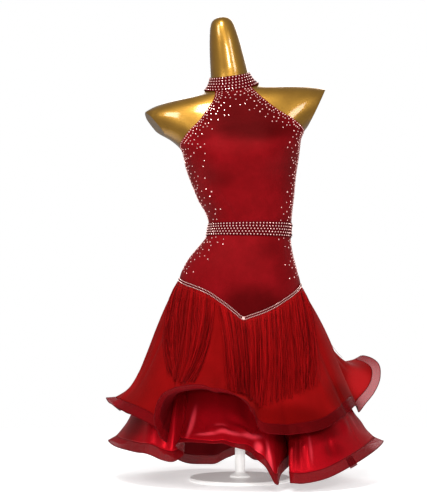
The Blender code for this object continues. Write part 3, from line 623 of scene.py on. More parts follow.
# %% [markdown]
# ## Putting a sheet in the scene
#
# A piece of cloth starts as a flat grid whose points are moved on to the sheet. Its UV map is in
# metres, round the cloth and down it, so a weave has its true size. Solidify then gives it the
# thickness of the cloth, inwards. The inner side of each tier gets the dull reverse of the cloth.


# %% Cloth from a sheet
def add(name, data):
    """A new object in the scene."""
    made = bpy.data.objects.new(name, data)
    bpy.context.scene.collection.objects.link(made)
    return made


def mesh_of(name, shape):
    """The mesh of a finished bmesh."""
    mesh = bpy.data.meshes.new(name)
    shape.to_mesh(mesh)
    shape.free()
    return mesh


def put(name, mesh, material):
    """Puts a finished mesh in the scene as one piece that stands still."""
    piece = add(name, mesh)
    mesh.materials.clear()
    mesh.materials.append(material)
    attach(piece, "root")
    print(f"{name}: {len(mesh.polygons)} faces")
    return piece


def cloth(name, source, material):
    """One piece of cloth on the sheet that was read from a piece of the plain model."""
    sheet = sheets[source]
    columns, rows = sheet.points.shape[:2]
    shape = bmesh.new()
    bmesh.ops.create_grid(shape, x_segments=columns - 1, y_segments=rows - 1, size=1)
    uv = shape.loops.layers.uv.new("cloth")
    round_it = sheet.alongs.mean(axis=1)
    places = {}
    for vert in shape.verts:
        c = round((vert.co.x + 1) / 2 * (columns - 1))
        r = round((1 - vert.co.y) / 2 * (rows - 1))
        places[vert] = (c, r)
    for face in shape.faces:
        face.smooth = True
        for loop in face.loops:
            c, r = places[loop.vert]
            loop[uv].uv = (round_it[c], -sheet.drops[c, r])
    for vert, (c, r) in places.items():
        vert.co = sheet.points[c, r]
    if sheet.closed:
        bmesh.ops.remove_doubles(shape, verts=shape.verts, dist=WELD)
    piece = put(name, mesh_of(name, shape), material)
    shell = piece.modifiers.new("thickness", "SOLIDIFY")
    shell.thickness = WALLS[source]
    shell.offset = -1
    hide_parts(source)
    return piece


CLOTHS = (  # piece, piece of the plain model, finish, slot
    ("velvet_front", "bodice_front", velvet, "velvet"), ("velvet_back", "bodice_back", velvet, "velvet"),
    ("upper_tier", "skirt_upper", crepe, "crepe"), ("lower_tier", "skirt_lower", satin, "satin"),
    ("upper_crin", "crin_upper", crin, "crin"), ("lower_crin", "crin_lower", crin, "crin"),
    ("collar_band", "collar", tape, "stones"), ("belt_band", "belt", tape, "stones"),
    ("trim_tape", "hip_trim", tape, "stones"),
)
pieces = {name: cloth(name, source, made_of) for name, source, made_of, slot in CLOTHS}
sheet_of = {name: sheets[source] for name, source, _, _ in CLOTHS}
for name in ("upper_tier", "lower_tier"):
    pieces[name].data.materials.append(reverse)
    pieces[name].modifiers["thickness"].material_offset = 1

# %% [markdown]
# ## Where a cloth looks different
#
# Painted shade darkens the velvet, crepe, satin and braid in places, painted highlights lighten the
# satin along its bends, and a layer that stands alone lets light through. None of this repeats, so a
# texture can't make it. Each is a soft-edged oval patch with its own place, sizes and strength, and
# every point keeps how strongly it is touched. The finishes read those marks. The velvet's patches
# are placed as seen from the front, the rest by bearing and share.


# %% Patches
PAINTED_VELVET_SHADE = (  # across and up from the front; half sizes in mm; strength of the painted shade
    (0.030, 0.876, 112, 32, 0.9), (0.010, 0.915, 140, 66, 0.85), (0.035, 0.440, 82, 50, 0.8),
    (0.118, 0.765, 22, 70, 0.15), (-0.055, 0.750, 36, 20, 0.3), (-0.095, 0.872, 40, 30, 0.5),
    (0.085, 0.580, 50, 26, 0.25), (0.110, 0.520, 30, 60, 0.3), (-0.085, 0.690, 30, 45, 0.2),
)
PAINTED_HIGHLIGHTS = (  # bearing and share down; half sizes in mm; strength of the painted highlight
    (-46.5, 0.86, 6.5, 46, 1.0), (-38, 0.925, 24, 6.5, 1.0), (-26, 0.905, 34, 7, 1.0),
    (-10, 0.90, 28, 7.5, 1.0), (-3, 0.965, 10, 16, 0.9), (8, 0.975, 6, 20, 0.8), (13, 0.94, 7, 42, 1.0),
    (-31, 0.845, 20, 3, 0.5), (64, 0.88, 4, 32, 0.6), (88, 0.84, 5, 26, 0.5), (128, 0.86, 5, 30, 0.7),
    (171, 0.88, 30, 5, 0.7), (207, 0.84, 5, 36, 0.6), (234, 0.91, 28, 5, 0.6),
)
PAINTED_HEM_SHADE = (  # the same for painted shade where the crepe turns under
    (48, 0.97, 120, 44, 0.9), (72, 0.97, 60, 44, 0.7), (-62, 0.97, 60, 34, 0.5), (95, 0.55, 26, 90, 0.4),
    (140, 0.96, 90, 40, 0.7), (196, 0.95, 80, 36, 0.6), (250, 0.94, 60, 20, 0.6),
)
THIN = (  # and for where one layer stands alone, and light comes through
    (103, 0.91, 44, 44, 0.6), (-84, 0.86, 26, 40, 0.2), (232, 0.93, 46, 32, 0.5),
)
# painted shadow where the upper tier hangs over the satin, and painted shade in its folds
PAINTED_SATIN_SHADOW = (
    (59, 0.83, 22, 56, 1.0), (68, 0.78, 54, 30, 0.9), (-84, 0.90, 46, 60, 0.8), (33, 0.80, 26, 60, 0.6),
    (72, 0.93, 30, 20, 0.5), (140, 0.85, 40, 40, 0.6), (185, 0.84, 50, 34, 0.6), (225, 0.86, 36, 40, 0.6),
)
# painted shade on the upper braid along the front hem
PAINTED_BRAID_SHADE = (
    (22, 0.5, 60, 40, 0.9), (44, 0.5, 90, 40, 0.8), (62, 0.5, 60, 40, 0.5),
)
UPPER_BRAID_THIN = (
    (108, 0.5, 90, 60, 1.0), (-84, 0.5, 60, 40, 0.5), (232, 0.5, 70, 60, 0.9),
)
LOWER_BRAID_THIN = (
    (-86, 0.5, 90, 50, 0.4), (82, 0.5, 60, 50, 0.5), (150, 0.5, 60, 50, 0.5),
)
DOWN = np.array((0, 0, -1))
PATCH_REACH = 0.2  # a patch touches nothing further off, such as the other side of the skirt
SAME_PLACE = (1 * MM, 4 * MM)  # how far past the nearest point, or off the place, still counts


def seen_at(sheet, across, up):
    """Column and row of the foremost point at this place as seen from the front."""
    off = np.hypot(sheet.points[..., 0] - across, sheet.points[..., 2] - up)
    near = np.argwhere(off < max(off.min() + SAME_PLACE[0], SAME_PLACE[1])).tolist()
    return min(near, key=lambda at: sheet.points[at[0], at[1], 1])


def keep(piece, name, values):
    """Keeps one number on each point of a piece."""
    kept = piece.data.attributes.new(name, "FLOAT", "POINT")
    kept.data.foreach_set("value", values)


def mark(piece, name, place, patches):
    """Keeps on each point how strongly these soft-edged patches touch it, from 0 to 1."""
    sheet = sheet_of[piece.name]
    spots = np.array([vert.co for vert in piece.data.vertices])
    marks = np.zeros(len(spots))
    for first, second, half_across, half_down, strength in patches:
        column, row = place(sheet, first, second)
        above = max(row - 1, 0)
        down = sheet.points[column, above + 1] - sheet.points[column, above]
        down = DOWN if place is seen_at else down / np.linalg.norm(down)
        across = np.cross(down, sheet.normals[column, row])
        off = spots - sheet.points[column, row]
        near = np.linalg.norm(off, axis=1) < PATCH_REACH
        off = (off @ across / (half_across * MM)) ** 2 + (off @ down / (half_down * MM)) ** 2
        marks = np.maximum(marks, strength * np.exp(-(off**2)) * near)
    keep(piece, name, marks)
    print(f"{piece.name}: {len(patches)} patches of {name}")


for name, kept_as, place, patches in (
    ("velvet_front", "painted_velvet_shade", seen_at, PAINTED_VELVET_SHADE), ("upper_tier", "shade", placed_at, PAINTED_HEM_SHADE),
    ("upper_tier", "thin", placed_at, THIN), ("lower_tier", "gleam", placed_at, PAINTED_HIGHLIGHTS),
    ("lower_tier", "shade", placed_at, PAINTED_SATIN_SHADOW), ("upper_crin", "thin", placed_at, UPPER_BRAID_THIN),
    ("upper_crin", "shade", placed_at, PAINTED_BRAID_SHADE), ("lower_crin", "thin", placed_at, LOWER_BRAID_THIN),
):
    mark(pieces[name], kept_as, place, patches)

# %% [markdown]
# ## Edges
#
# A crin braid has a thicker thread along each edge. The velvet's free edges are bound with a narrow
# turned elastic, and the fringe hangs from a heading cord. All are round cords along a row or a column
# of a sheet, so each is a curve with a bevel. Few sides, shaded smooth, look round on a cord this thin.


# %% Cords along the edges
def cords(name, lines, radius, material, section=1):
    """Round cords as one piece. A line is its points, whether it is a ring, and how its radius varies."""
    data = bpy.data.curves.new(name, "CURVE")
    data.dimensions = "3D"
    data.bevel_depth = radius
    data.bevel_resolution = section
    data.use_fill_caps = True
    for points, ring, *radii in lines:
        spline = data.splines.new("POLY")
        spline.points.add(len(points) - 1)
        for spot, point in zip(spline.points, points):
            spot.co = (*point, 1)
        for spot, share in zip(spline.points, radii[0] if radii else ()):
            spot.radius = share
        spline.use_cyclic_u = ring
    curve = add(name + "_line", data)
    mesh = bpy.data.meshes.new_from_object(curve.evaluated_get(bpy.context.evaluated_depsgraph_get()))
    bpy.data.objects.remove(curve)
    mesh.shade_smooth()
    return put(name, mesh, material)


# The edge threads of crin are spun, not drawn, so they are duller than the braid between them.
crin_thread = mottled_finish("dark red edge thread", 3 * MM, 1.0, "#56040a", "#6e070e",
                             Roughness=0.6, Specular_Tint="#ff5050", Specular_IOR_Level=0.1)
CRIN_EDGE = 1.0 * MM  # radii of the cords
SEAM = 0.4 * MM
HALF_BRAID = 0.5 * MM
BINDING = 1.1 * MM  # the middle of a bound edge lies a little inside the cloth
BINDING_DEPTH = 0.6 * MM
HEADING = 1.2 * MM
HEADING_SHADE = 0.6
SEAMS = (-97, 84, 180)  # bearings of a tier's seams
for tier in ("upper", "lower"):
    braid = sheets["crin_" + tier]
    middle = braid.points - braid.normals * HALF_BRAID
    rims = [(middle[:-1, 0], True), (middle[:-1, -1], True)]
    cords(f"{tier}_crin_edges", rims, CRIN_EDGE, crin_thread)
for name, ends in (("front", (0, -1)), ("back", (0,))):
    bound = sheets["bodice_" + name]
    inside = bound.points - bound.normals * BINDING_DEPTH
    lines = [(inside[end] if name == "front" else inside[:, end], False) for end in ends]
    cords(name + "_binding", lines, BINDING, velvet)
flare = sheets["skirt_upper"]
heading = flare.points[:-1, 1] + flare.normals[:-1, 1] * HEADING
heading_cord = cords("fringe_heading", [(heading, True)], HEADING, yarn)
keep(heading_cord, "shade", [HEADING_SHADE] * len(heading_cord.data.vertices))
for tier, made_of, slot in (("upper", crepe, "crepe"), ("lower", satin, "satin")):
    flare = sheets["skirt_" + tier]
    lines = [(flare.points[placed_at(flare, bearing, 0)[0]], False) for bearing in SEAMS]
    cords(f"{tier}_tier_seams", lines, SEAM, made_of)

# %% [markdown]
# ## Joins and fastenings
#
# The two ends of a crin braid are lapped and stitched, and the doubled end stands a little below
# the hem. The belt hooks at the wearer's left side. The collar closes behind with three hooks, each a
# small rounded plate with a bar for its eye. Hooks are steel wire blackened with oxide, which wears to
# brown: a dark metal with a soft gleam, whose roughness is 0.3 to 0.4.


# %% Lapped joins and hooks
JOINS = (  # sheet, across and up from the front, columns covered
    ("crin_lower", 0.265, 0.048, 5), ("crin_lower", -0.180, 0.062, 4), ("crin_upper", 0.268, 0.240, 4),
    ("crin_upper", -0.290, 0.178, 4),
)
LAP_OUT = 0.7 * MM
LAP_BELOW = 0.9  # how far it stands below the hem, in steps of two rows
joins = bmesh.new()
for source, across, up, wide in JOINS:
    braid = sheets[source]
    column, _ = seen_at(braid, across, up)
    last = braid.points.shape[1] - 1
    lines = []
    for c in range(column, column + wide):
        c %= braid.points.shape[0] - 1
        below = braid.points[c, last] - braid.points[c, last - 2]
        line = [braid.points[c, r] + braid.normals[c, r] * LAP_OUT for r in (1, last // 2, last)]
        line.append(line[-1] + below * LAP_BELOW)
        lines.append([joins.verts.new(point) for point in line])
    for one, two in zip(lines, lines[1:]):
        for k in range(len(one) - 1):
            joins.faces.new((one[k], one[k + 1], two[k + 1], two[k]))
crin_joins = put("crin_joins", mesh_of("crin_joins", joins), crin)
lap = crin_joins.modifiers.new("thickness", "SOLIDIFY")
lap.thickness = 0.8 * MM
lap.offset = 0

HOOK_PARTS = (  # the plate and the bar: how far aside, width, height, in mm
    (0.0, 5.0, 4.0), (4.6, 1.4, 5.5),
)
HOOKS = (("collar", 180, (8, 20, 31)), ("belt", 82, (7, 31)))  # band, bearing, distances down it in mm
HOOK_OUT = 0.9 * MM
HOOK_THICK = 1.4 * MM
HOOK_EDGE = 0.4 * MM
BAND_END = 0.9 * MM  # radius of the folded end of a band, and how far it is moved off the band
BAND_END_OFF = 0.3 * MM
hook_steel = mottled_finish("black oxide on steel wire", 2 * MM, 2.0, "#1c1414", "#3a2a28",
                            Metallic=1.0, Roughness=0.35)


def standing(point, outward):
    """The matrix that takes something upright at the middle to a place, pointing this way."""
    return Matrix.Translation(point) @ outward.to_track_quat("Z", "Y").to_matrix().to_4x4()


def hook(shape, sheet, bearing, drop):
    """A flat hook with its eye."""
    for aside, wide, tall in HOOK_PARTS:
        place = standing(*sheet.at(bearing, drop, HOOK_OUT)) @ Matrix.Translation((aside * MM, 0, 0))
        size = Matrix.Diagonal((wide * MM, tall * MM, HOOK_THICK, 1))
        made = bmesh.ops.create_cube(shape, size=1, matrix=place @ size)
        edges = {edge for vert in made["verts"] for edge in vert.link_edges}
        bmesh.ops.bevel(shape, geom=sorted(edges, key=lambda edge: edge.index), offset=HOOK_EDGE,
                        segments=2, profile=0.5, affect="EDGES")


fastenings = bmesh.new()
for band, bearing, drops in HOOKS:
    for drop in drops:
        hook(fastenings, sheets[band], bearing, drop * MM)
put("hooks", mesh_of("hooks", fastenings), hook_steel)
ends = []
for source, bearing in (("collar", 176), ("belt", 77)):
    band = sheets[source]
    ends.append((band.points[placed_at(band, bearing, 0)[0]] + BAND_END_OFF, False))
cords("band_ends", ends, BAND_END, tape)

# %% [markdown]
# ## Stones
#
# Flat-back stones are low cut glass cones on a mirror foil, glued or heat-pressed on. The foil
# makes them bright from every side, so a smooth metal is nearer to the look than clear glass. Cut
# glass has a roughness under 0.1, and each stone throws back light from places that a small scene
# doesn't have, which a weak glow stands for.
#
# One stone is turned from a profile in eight steps: a low girdle, a crown that slopes in, and a flat
# table. That stone is then copied to each place, turned to the cloth and scaled. On the collar, the
# belt and the tape along the hip line the stones stand in even rows, and every other row is staggered.


# %% Flat-back stones
def stone_finish():
    """Cut glass on foil: its pale pink is a painted reflection of the red cloth, and its weak glow is
    painted light.
    """
    made, tree, shader = finish("foil-backed clear stones", Roughness=0.08, Metallic=0.45,
                                Emission_Color="#ffc4bc", Emission_Strength=0.42)
    place = node(tree, "TexCoord").outputs["Object"]
    cut = node(tree, "TexVoronoi", {"Vector": place, "Scale": per_metre(2.5 * MM)})
    tone = node(tree, "ValToRGB", {"Fac": cut}, stops=((0.2, "#ffdcd6"), (0.8, "#f4c4be")))
    plug(shader, {"Base Color": tone})
    return made


stone_glass = stone_finish()
CUT_SIDES = 8
# Radius and height of the underside, girdle and table, as shares of the stone's radius.
STONE_PROFILE = ((0, 0), (1, 0), (0.96, 0.18), (0.55, 0.60), (0, 0.60))
PROFILE_WELD = 0.001
ROW_START = 0.01  # of a pitch past the seam of the band


def turn(profile, steps, weld):
    """A closed solid, turned about the upright axis from a profile of (radius, height)."""
    shape = bmesh.new()
    points = [shape.verts.new((radius, 0, height)) for radius, height in profile]
    lines = [shape.edges.new(pair) for pair in zip(points, points[1:])]
    bmesh.ops.spin(shape, geom=points + lines, axis=(0, 0, 1), cent=(0, 0, 0), steps=steps,
                   angle=math.tau, use_merge=True)
    bmesh.ops.remove_doubles(shape, verts=shape.verts, dist=weld)
    bmesh.ops.recalc_face_normals(shape, faces=shape.faces)
    shape.verts.index_update()
    for parts in (shape.edges, shape.faces):  # a spin lists them in no fixed order
        in_order = sorted(parts, key=lambda part: sorted(corner.index for corner in part.verts))
        for place, part in enumerate(in_order):
            part.index = place
        parts.sort()
    return shape


def set_stones(name, spots):
    """One piece made of many stones, from (point, way out, radius)."""
    shape = turn(STONE_PROFILE, CUT_SIDES, PROFILE_WELD)
    stone = shape.verts[:] + shape.edges[:] + shape.faces[:]
    for point, outward, radius in spots:
        copy = bmesh.ops.duplicate(shape, geom=stone)["geom"]
        corners = [item for item in copy if isinstance(item, bmesh.types.BMVert)]
        place = standing(point, outward) @ Matrix.Scale(radius, 4)
        bmesh.ops.transform(shape, matrix=place, verts=corners)
    bmesh.ops.delete(shape, geom=stone, context="VERTS")
    put(name, mesh_of(name, shape), stone_glass)
    print(f"{name}: {len(spots)} stones")


def rows_of_stones(sheet, rows, pitch, radius):
    """Staggered rows round a band: each row is a share of the way down it."""
    spots = []
    last = sheet.points.shape[1] - 1
    for k, share in enumerate(rows):
        row = share * last
        length = sheet.alongs[-1, round(row)]
        count = round(length / pitch)
        for i in range(count):
            point, outward = sheet.beside(row, (i + 0.5 * (k % 2) + ROW_START) % count * length / count)
            spots.append((point, outward, radius))
    return spots


for name, source, rows, pitch, radius in (
    ("collar", "collar", (0.08, 0.29, 0.50, 0.71, 0.92), 8.5 * MM, 1.6 * MM),
    ("belt", "belt", (0.09, 0.295, 0.50, 0.705, 0.91), 8.4 * MM, 1.6 * MM),
    ("trim", "hip_trim", (0.13, 0.87), 4.2 * MM, 1.15 * MM),
):
    set_stones(name + "_stones", rows_of_stones(sheets[source], rows, pitch, radius))

# %% [markdown]
# ## Stones along the edges of the bodice
#
# The stones lie close along the halter and side edges, and thin out towards the middle. For each
# edge the script walks down the cloth. It sets a few stones near the edge at each step, and then
# drops loose ones further in, ever more rarely. None lies where the belt or the collar covers it. A
# few larger ones, which catch the eye first, are placed one by one.


# %% Edge stones
EDGE_PITCH = 7.2 * MM
EDGE_INSETS = (2.8 * MM, 9.6 * MM, 16.4 * MM)
HALTER_SHARE = 0.33  # above this share of the way down, the edge is the halter's
EDGE_FOOT = 0.955  # the stones end at this share
KEEP = {"halter": (1.0, 0.95, 0.85), "side": (1.0, 0.9, 0.7)}  # chance of a stone in each close row
LOOSE = {  # number a step, how they spread, and how far in they reach
    ("halter", 1): (4.5, 20 * MM, 68 * MM), ("halter", -1): (4.5, 20 * MM, 68 * MM),
    ("side", 1): (4.0, 34 * MM, 112 * MM), ("side", -1): (2.8, 17 * MM, 70 * MM),
}
LOOSE_START = 3 * MM  # past the last close row
UNEVEN = 0.6  # how far off its place a stone of a close row is set, in mm
STONE_SIZES = (1.15 * MM, 1.4 * MM, 1.4 * MM, 1.7 * MM)
LEAST_APART = 5.2 * MM  # between the stones of the close rows
LOOSE_APART = 6.2 * MM  # between loose ones; it grows with the distance from the edge
THINNING = 0.055
BAND_CLEAR = 2.2 * MM
LARGE_STONE = 2.1 * MM
LARGE_STONES = (  # across and up; each is a little larger than its neighbours
    (-0.063, 0.911), (0.050, 0.919), (-0.100, 0.830), (0.124, 0.838), (-0.075, 0.719), (0.120, 0.718),
)


def edge_stones(sheet, side, chance):
    """Stones along one edge: side is 1 for the first column and -1 for the last."""
    spots = []
    last = sheet.points.shape[1] - 1
    drops = sheet.drops[0 if side > 0 else -1]

    def set_one(distance, inset, least_apart=LEAST_APART):
        row = float(np.interp(distance, drops, range(last + 1)))
        point, outward = sheet.beside(row, side * inset)
        if all((point - other).length > least_apart for other, _, _ in spots):
            spots.append((point, outward, chance.choice(STONE_SIZES)))

    for step in range(int(drops[-1] * EDGE_FOOT / EDGE_PITCH)):
        distance = (step + 0.5) * EDGE_PITCH
        part = "halter" if distance < drops[-1] * HALTER_SHARE else "side"
        for k, (inset, keep_share) in enumerate(zip(EDGE_INSETS, KEEP[part])):
            stagger = EDGE_PITCH / 2 * (k % 2)
            if chance.random() < keep_share:
                down = distance + stagger + chance.gauss(0, UNEVEN) * MM
                set_one(down, inset + chance.gauss(0, UNEVEN) * MM)
        number, spread, limit = LOOSE[part, side]
        for _ in range(int(number + chance.random())):
            inset = EDGE_INSETS[-1] + LOOSE_START + chance.expovariate(1 / spread)
            if inset < limit:
                down = distance + chance.uniform(-0.5, 0.5) * EDGE_PITCH
                set_one(down, inset, LOOSE_APART + inset * THINNING)
    return spots


def under_a_band(point):
    """Whether the belt or the collar covers this place, or comes within a stone's width of it."""
    for source in ("belt", "collar"):
        band = sheets[source]
        bearing = math.degrees(math.atan2(point.x - band.axis[0], band.axis[1] - point.y))
        column, _ = placed_at(band, bearing, 0)
        high, low = band.points[column, 0, 2], band.points[column, -1, 2]
        if low - BAND_CLEAR < point.z < high + BAND_CLEAR:
            return True
    return False


chance = random.Random(7)
bodice = sheets["bodice_front"]
edge_spots = edge_stones(bodice, 1, chance) + edge_stones(bodice, -1, chance)
edge_spots = [spot for spot in edge_spots if not under_a_band(spot[0])]
for across, up in LARGE_STONES:
    point, outward = bodice.spot(*seen_at(bodice, across, up))
    edge_spots = [spot for spot in edge_spots if (spot[0] - point).length > LEAST_APART]
    edge_spots.append((point, outward, LARGE_STONE))
set_stones("bodice_stones", edge_spots)

# %% [markdown]
# ## The stone at the point of the V
#
# One large stone hides the place where the two arms of the tape meet at a mitre. It sits on the middle
# row of the tape, at its lowest point in front.


# %% The large stone at the point of the V
trim = sheets["hip_trim"]
lowest = int(trim.points[:, 1, 2].argmin())
V_STONE = 4.2 * MM
set_stones("v_stone", [(*trim.spot(lowest, 1), V_STONE)])

# %% [markdown]
# ## Fringe
#
# A fringe is hundreds of twisted rayon strands caught in a heading tape. Each strand is a curve with
# a four-sided bevel that starts under the heading and hangs down over the upper tier. Strands
# slide off the crests of the flutes, so they part there and gather in the valleys. A strand stands
# further off the cloth the lower it hangs, and each by its own amount, so that they overlap.


# %% The strands
FALLS = (  # bearing of a strand's root, and bearing below which its tip hangs
    ((-95, -64), (-70, -58), (-36, -30)),
    ((-36, -2), (4, 17), (45, 42), (70.5, 55), (90, 61.5)),
    ((90, 118), (105, 128), (118, 135), (145, 148), (180, 177.5), (216, 213), (242, 239), (265, 250)),
)
STRAND_COUNT = 1100
STRAND_POINTS = 11
FRINGE_TOP = 1.5 * MM
FRINGE_LENGTHS = (  # bearing of the root, length from the seam
    (-95, 0.240), (-60, 0.255), (-36, 0.272), (0, 0.286), (30, 0.282), (60, 0.256), (88, 0.238),
    (125, 0.262), (180, 0.276), (225, 0.262), (265, 0.240),
)
FALL_EASE = 0.75  # below 1, a strand moves aside most near its root
ROOT_JITTER = 0.3  # of the distance between two roots
TIP_SPREAD = 1.6  # degrees
LENGTH_SHARES = (0.93, 1.0)
LIFTS = (0.2, 1.0)
STRAND_RADII = (0.45, 0.7)  # in mm
LEAST_CLEAR = 0.9 * MM  # how far off the cloth a strand starts, and how much more its tip may be
HANG_CLEAR = 5.0 * MM
TAPER = 0.35
DARKER = ((0.16, 42, 20), (0.12, -66, 14))  # strands rooted round these bearings are darker: by how much, round which bearing, over what width
TINT_SPREAD = 0.35


def fall_of(root):
    """The bearing of a strand's root, and that of its tip."""
    root = (root - FALLS[0][0][0]) % 360 + FALLS[0][0][0]
    for table in FALLS:
        if table[0][0] <= root < table[-1][0]:
            return root, float(np.interp(root, *zip(*table)))
    return root, FALLS[-1][-1][1]


def strand(i, sheet, chance):
    """One strand's points, how thick it is at each, and how dark it is dyed."""
    root, tip = fall_of(360 * (i + chance.uniform(-ROOT_JITTER, ROOT_JITTER)) / STRAND_COUNT)
    tip += chance.gauss(0, TIP_SPREAD)
    length = float(np.interp(root, *zip(*FRINGE_LENGTHS))) * chance.uniform(*LENGTH_SHARES)
    lift = chance.uniform(*LIFTS)
    thick = chance.uniform(*STRAND_RADII) * MM
    mean_tint = 0.5
    for much, middle, width in DARKER:
        mean_tint -= much * math.exp(-(((root - middle) / width) ** 2))
    tint = min(1.0, max(0.0, chance.gauss(mean_tint, TINT_SPREAD)))
    points, radii = [], []
    for k in range(STRAND_POINTS):
        share = k / (STRAND_POINTS - 1)
        bearing = root + (tip - root) * share**FALL_EASE
        clear = LEAST_CLEAR + HANG_CLEAR * lift * math.sqrt(share)
        points.append(sheet.at(bearing, FRINGE_TOP + length * share, clear)[0])
        radii.append(thick * (1 - TAPER * share))
    return points, radii, tint


chance = random.Random(11)
strands = [strand(i, sheets["skirt_upper"], chance) for i in range(STRAND_COUNT)]
lines = [(points, False, radii) for points, radii, _ in strands]
fringe = cords("fringe_strands", lines, 1.0, yarn, section=0)
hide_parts("fringe")
points_each = len(fringe.data.vertices) // STRAND_COUNT
keep(fringe, "shade", np.repeat([tint for _, _, tint in strands], points_each))
print("fringe:", STRAND_COUNT, "strands of", points_each, "points")

# %% [markdown]
# ## The dress form and its stand
#
# The form is a hollow glass fibre shell, sprayed with a gold lacquer. The lacquer is clear over fine
# metal flake, so it has a soft metal gloss, of a roughness of 0.3 to 0.4, under a sharper clear coat.
# Its plain mesh is made of flat triangles, so they are joined into four-sided cells and rounded by
# subdivision, and the rims of its flat cuts are kept sharp.
#
# The stand is steel with a white powder coat, which flows out to a faint orange peel and has a
# roughness of 0.4 to 0.5. Both its parts are turned, so they are turned again with more steps.


# %% The form and its stand
def enamel_finish():
    """Baked powder on steel: an even white with a soft highlight, and a weak painted glow that keeps it
    white.
    """
    made, tree, shader = finish("white powder coat on steel", Roughness=0.45, Base_Color="#f2f1ee",
                                Emission_Color="#ffffff", Emission_Strength=0.25)
    place = node(tree, "TexCoord").outputs["Object"]
    peel = node(tree, "TexNoise", {"Vector": place, "Scale": per_metre(2.0 * MM), "Detail": 2.0})
    bump = node(tree, "Bump", {"Height": peel, "Strength": 0.15, "Distance": 0.1 * MM})
    plug(shader, {"Normal": bump})
    return made


gold = mottled_finish("gold lacquer on glass fibre", 25 * MM, 4.0, "#a67722", "#b38328",
                      Metallic=0.75, Roughness=0.36, Coat_Weight=1.0, Coat_Roughness=0.1)
enamel = enamel_finish()


def turn_again(name, source, steps):
    """The same turned solid with more steps, from the profile of its plain mesh."""
    corners = bpy.data.objects[source].data.vertices
    places = {(round(math.hypot(v.co.x, v.co.y), 6), round(v.co.z, 6)) for v in corners}
    bottom, top = min(height for _, height in places), max(height for _, height in places)
    places |= {(0.0, bottom), (0.0, top)}
    profile = sorted(places, key=lambda place: (place[1], -place[0] if place[1] == top else place[0]))
    shape = turn(profile, steps, WELD)
    for face in shape.faces:
        face.smooth = True
    piece = put(name, mesh_of(name, shape), enamel)
    soft_edge = piece.modifiers.new("soft edge", "BEVEL")
    soft_edge.width = 0.5 * MM
    soft_edge.segments = 2
    soft_edge.limit_method = "ANGLE"
    soft_edge.harden_normals = True
    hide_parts(source)


turn_again("base_plate", "stand_base", 96)
turn_again("post_and_flange", "stand_post", 48)

FLAT = 12  # a cell with more sides than this is one of the cuts
RIM = 2.5 * MM  # a narrow ring inside each cut, which keeps its flat face flat
SAME_PLANE = math.radians(0.5)
CELL_BEND = math.radians(40)  # how bent and how slanted a four-sided cell may be
CELL_SLANT = math.radians(60)
SHARP_ANGLE = math.radians(35)
SHARPNESS = 0.8
form = bmesh.new()
form.from_mesh(bpy.data.objects["dress_form"].data)
bmesh.ops.remove_doubles(form, verts=form.verts, dist=WELD)
bmesh.ops.dissolve_limit(form, angle_limit=SAME_PLANE, verts=form.verts, edges=form.edges)
flats = [face for face in form.faces if len(face.verts) > FLAT]
bmesh.ops.inset_individual(form, faces=flats, thickness=RIM, use_even_offset=True)
bmesh.ops.triangulate(form, faces=[face for face in form.faces if 4 < len(face.verts) <= FLAT])
bmesh.ops.join_triangles(form, faces=form.faces, angle_face_threshold=CELL_BEND,
                         angle_shape_threshold=CELL_SLANT, topology_influence=2.0)
crease = form.edges.layers.float.new("crease_edge")
for edge in form.edges:
    if edge.calc_face_angle(0) > SHARP_ANGLE:
        edge[crease] = SHARPNESS
for face in form.faces:
    face.smooth = True
form_shell = put("form_shell", mesh_of("form_shell", form), gold)
rounding = form_shell.modifiers.new("rounding", "SUBSURF")
rounding.levels = rounding.render_levels = 2
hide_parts("dress_form")

# %% [markdown]
# ## Studio
#
# A pale floor that fades out under a white sky. The key light stands at the upper left and a weaker
# fill at the right. One more in front and one high up are aimed at the skirt, a large one behind
# gives the edges and the back their light, and a narrow snoot reaches under the arch of the hem to the
# satin. The camera stands 5 m in front, with a long lens.


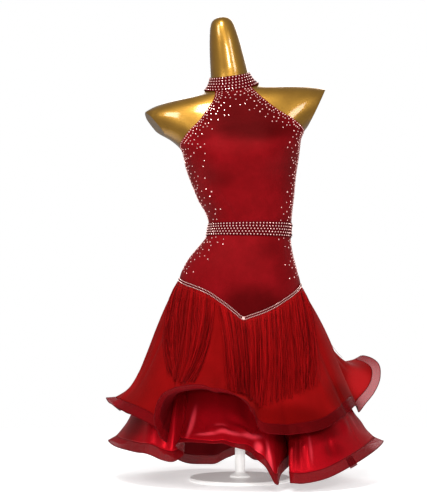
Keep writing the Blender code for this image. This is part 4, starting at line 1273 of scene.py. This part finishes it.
# %% Floor, lights and camera
floor_shape = bmesh.new()
bmesh.ops.create_circle(floor_shape, cap_ends=True, segments=64, radius=2.0)
floor = add("floor", mesh_of("floor", floor_shape))
paint, floor_tree, floor_shader = finish("pale studio floor", Roughness=0.9, Base_Color="#f7f7f7",
                                         Emission_Color="#ffffff", Emission_Strength=0.55)
floor_place = node(floor_tree, "TexCoord").outputs["Object"]
from_middle = node(floor_tree, "VectorMath", {0: floor_place}, operation="LENGTH")
faded = node(floor_tree, "MapRange", {"Value": from_middle.outputs["Value"], "From Min": 0.7,
                                      "From Max": 1.6, "To Min": 1.0, "To Max": 0.0})
plug(floor_shader, {"Alpha": faded})
floor.data.materials.append(paint)


def light(name, kind, place, aim, watts, **settings):
    """A light that points at a place."""
    lamp = bpy.data.lights.new(name, kind)
    lamp.energy = watts
    for setting, value in settings.items():
        setattr(lamp, setting, value)
    made = add(name, lamp)
    made.location = place
    made.rotation_euler = (Vector(aim) - Vector(place)).to_track_quat("-Z", "Y").to_euler()


MIDDLE = (0, 0, 0.65)
for name, place, aim, size, watts in (
    ("key", (-2.2, -2.2, 2.2), MIDDLE, 0.85, 27), ("fill", (1.9, -2.4, 1.8), MIDDLE, 0.7, 15),
    ("front", (0.4, -3.2, 1.35), (0.0, 0.0, 0.3), 0.7, 34),
    ("high", (-0.5, -2.0, 2.7), (0.0, -0.2, 0.2), 0.8, 46), ("behind", (0.6, 2.8, 2.2), MIDDLE, 2.4, 42),
):
    light(name, "AREA", place, aim, watts, size=size)
light("snoot", "SPOT", (-0.25, -2.1, 0.42), (-0.05, -0.25, 0.12), 84, spot_size=math.radians(9),
      spot_blend=1.0, shadow_soft_size=0.06)

# The sky is white to the camera and much weaker as a light.
world = bpy.data.worlds.new("studio")
world.use_nodes = True
bpy.context.scene.world = world
sky = world.node_tree
sky.nodes.clear()
seen_sky = node(sky, "Background", {"Color": "#ffffff", "Strength": 1.0})
lit_sky = node(sky, "Background", {"Color": "#ffffff", "Strength": 0.22})
seen = node(sky, "LightPath").outputs["Is Camera Ray"]
both = node(sky, "MixShader", {0: seen, 1: lit_sky, 2: seen_sky})
node(sky, "OutputWorld", {"Surface": both})

lens = bpy.data.cameras.new("camera")
lens.sensor_width = 36
lens.lens = 144
camera = add("camera", lens)
camera.location = (-0.0663, -5.0, 0.575)
camera.rotation_euler = (math.radians(90), 0, 0)
bpy.context.scene.camera = camera
bpy.context.scene.view_settings.view_transform = "Standard"
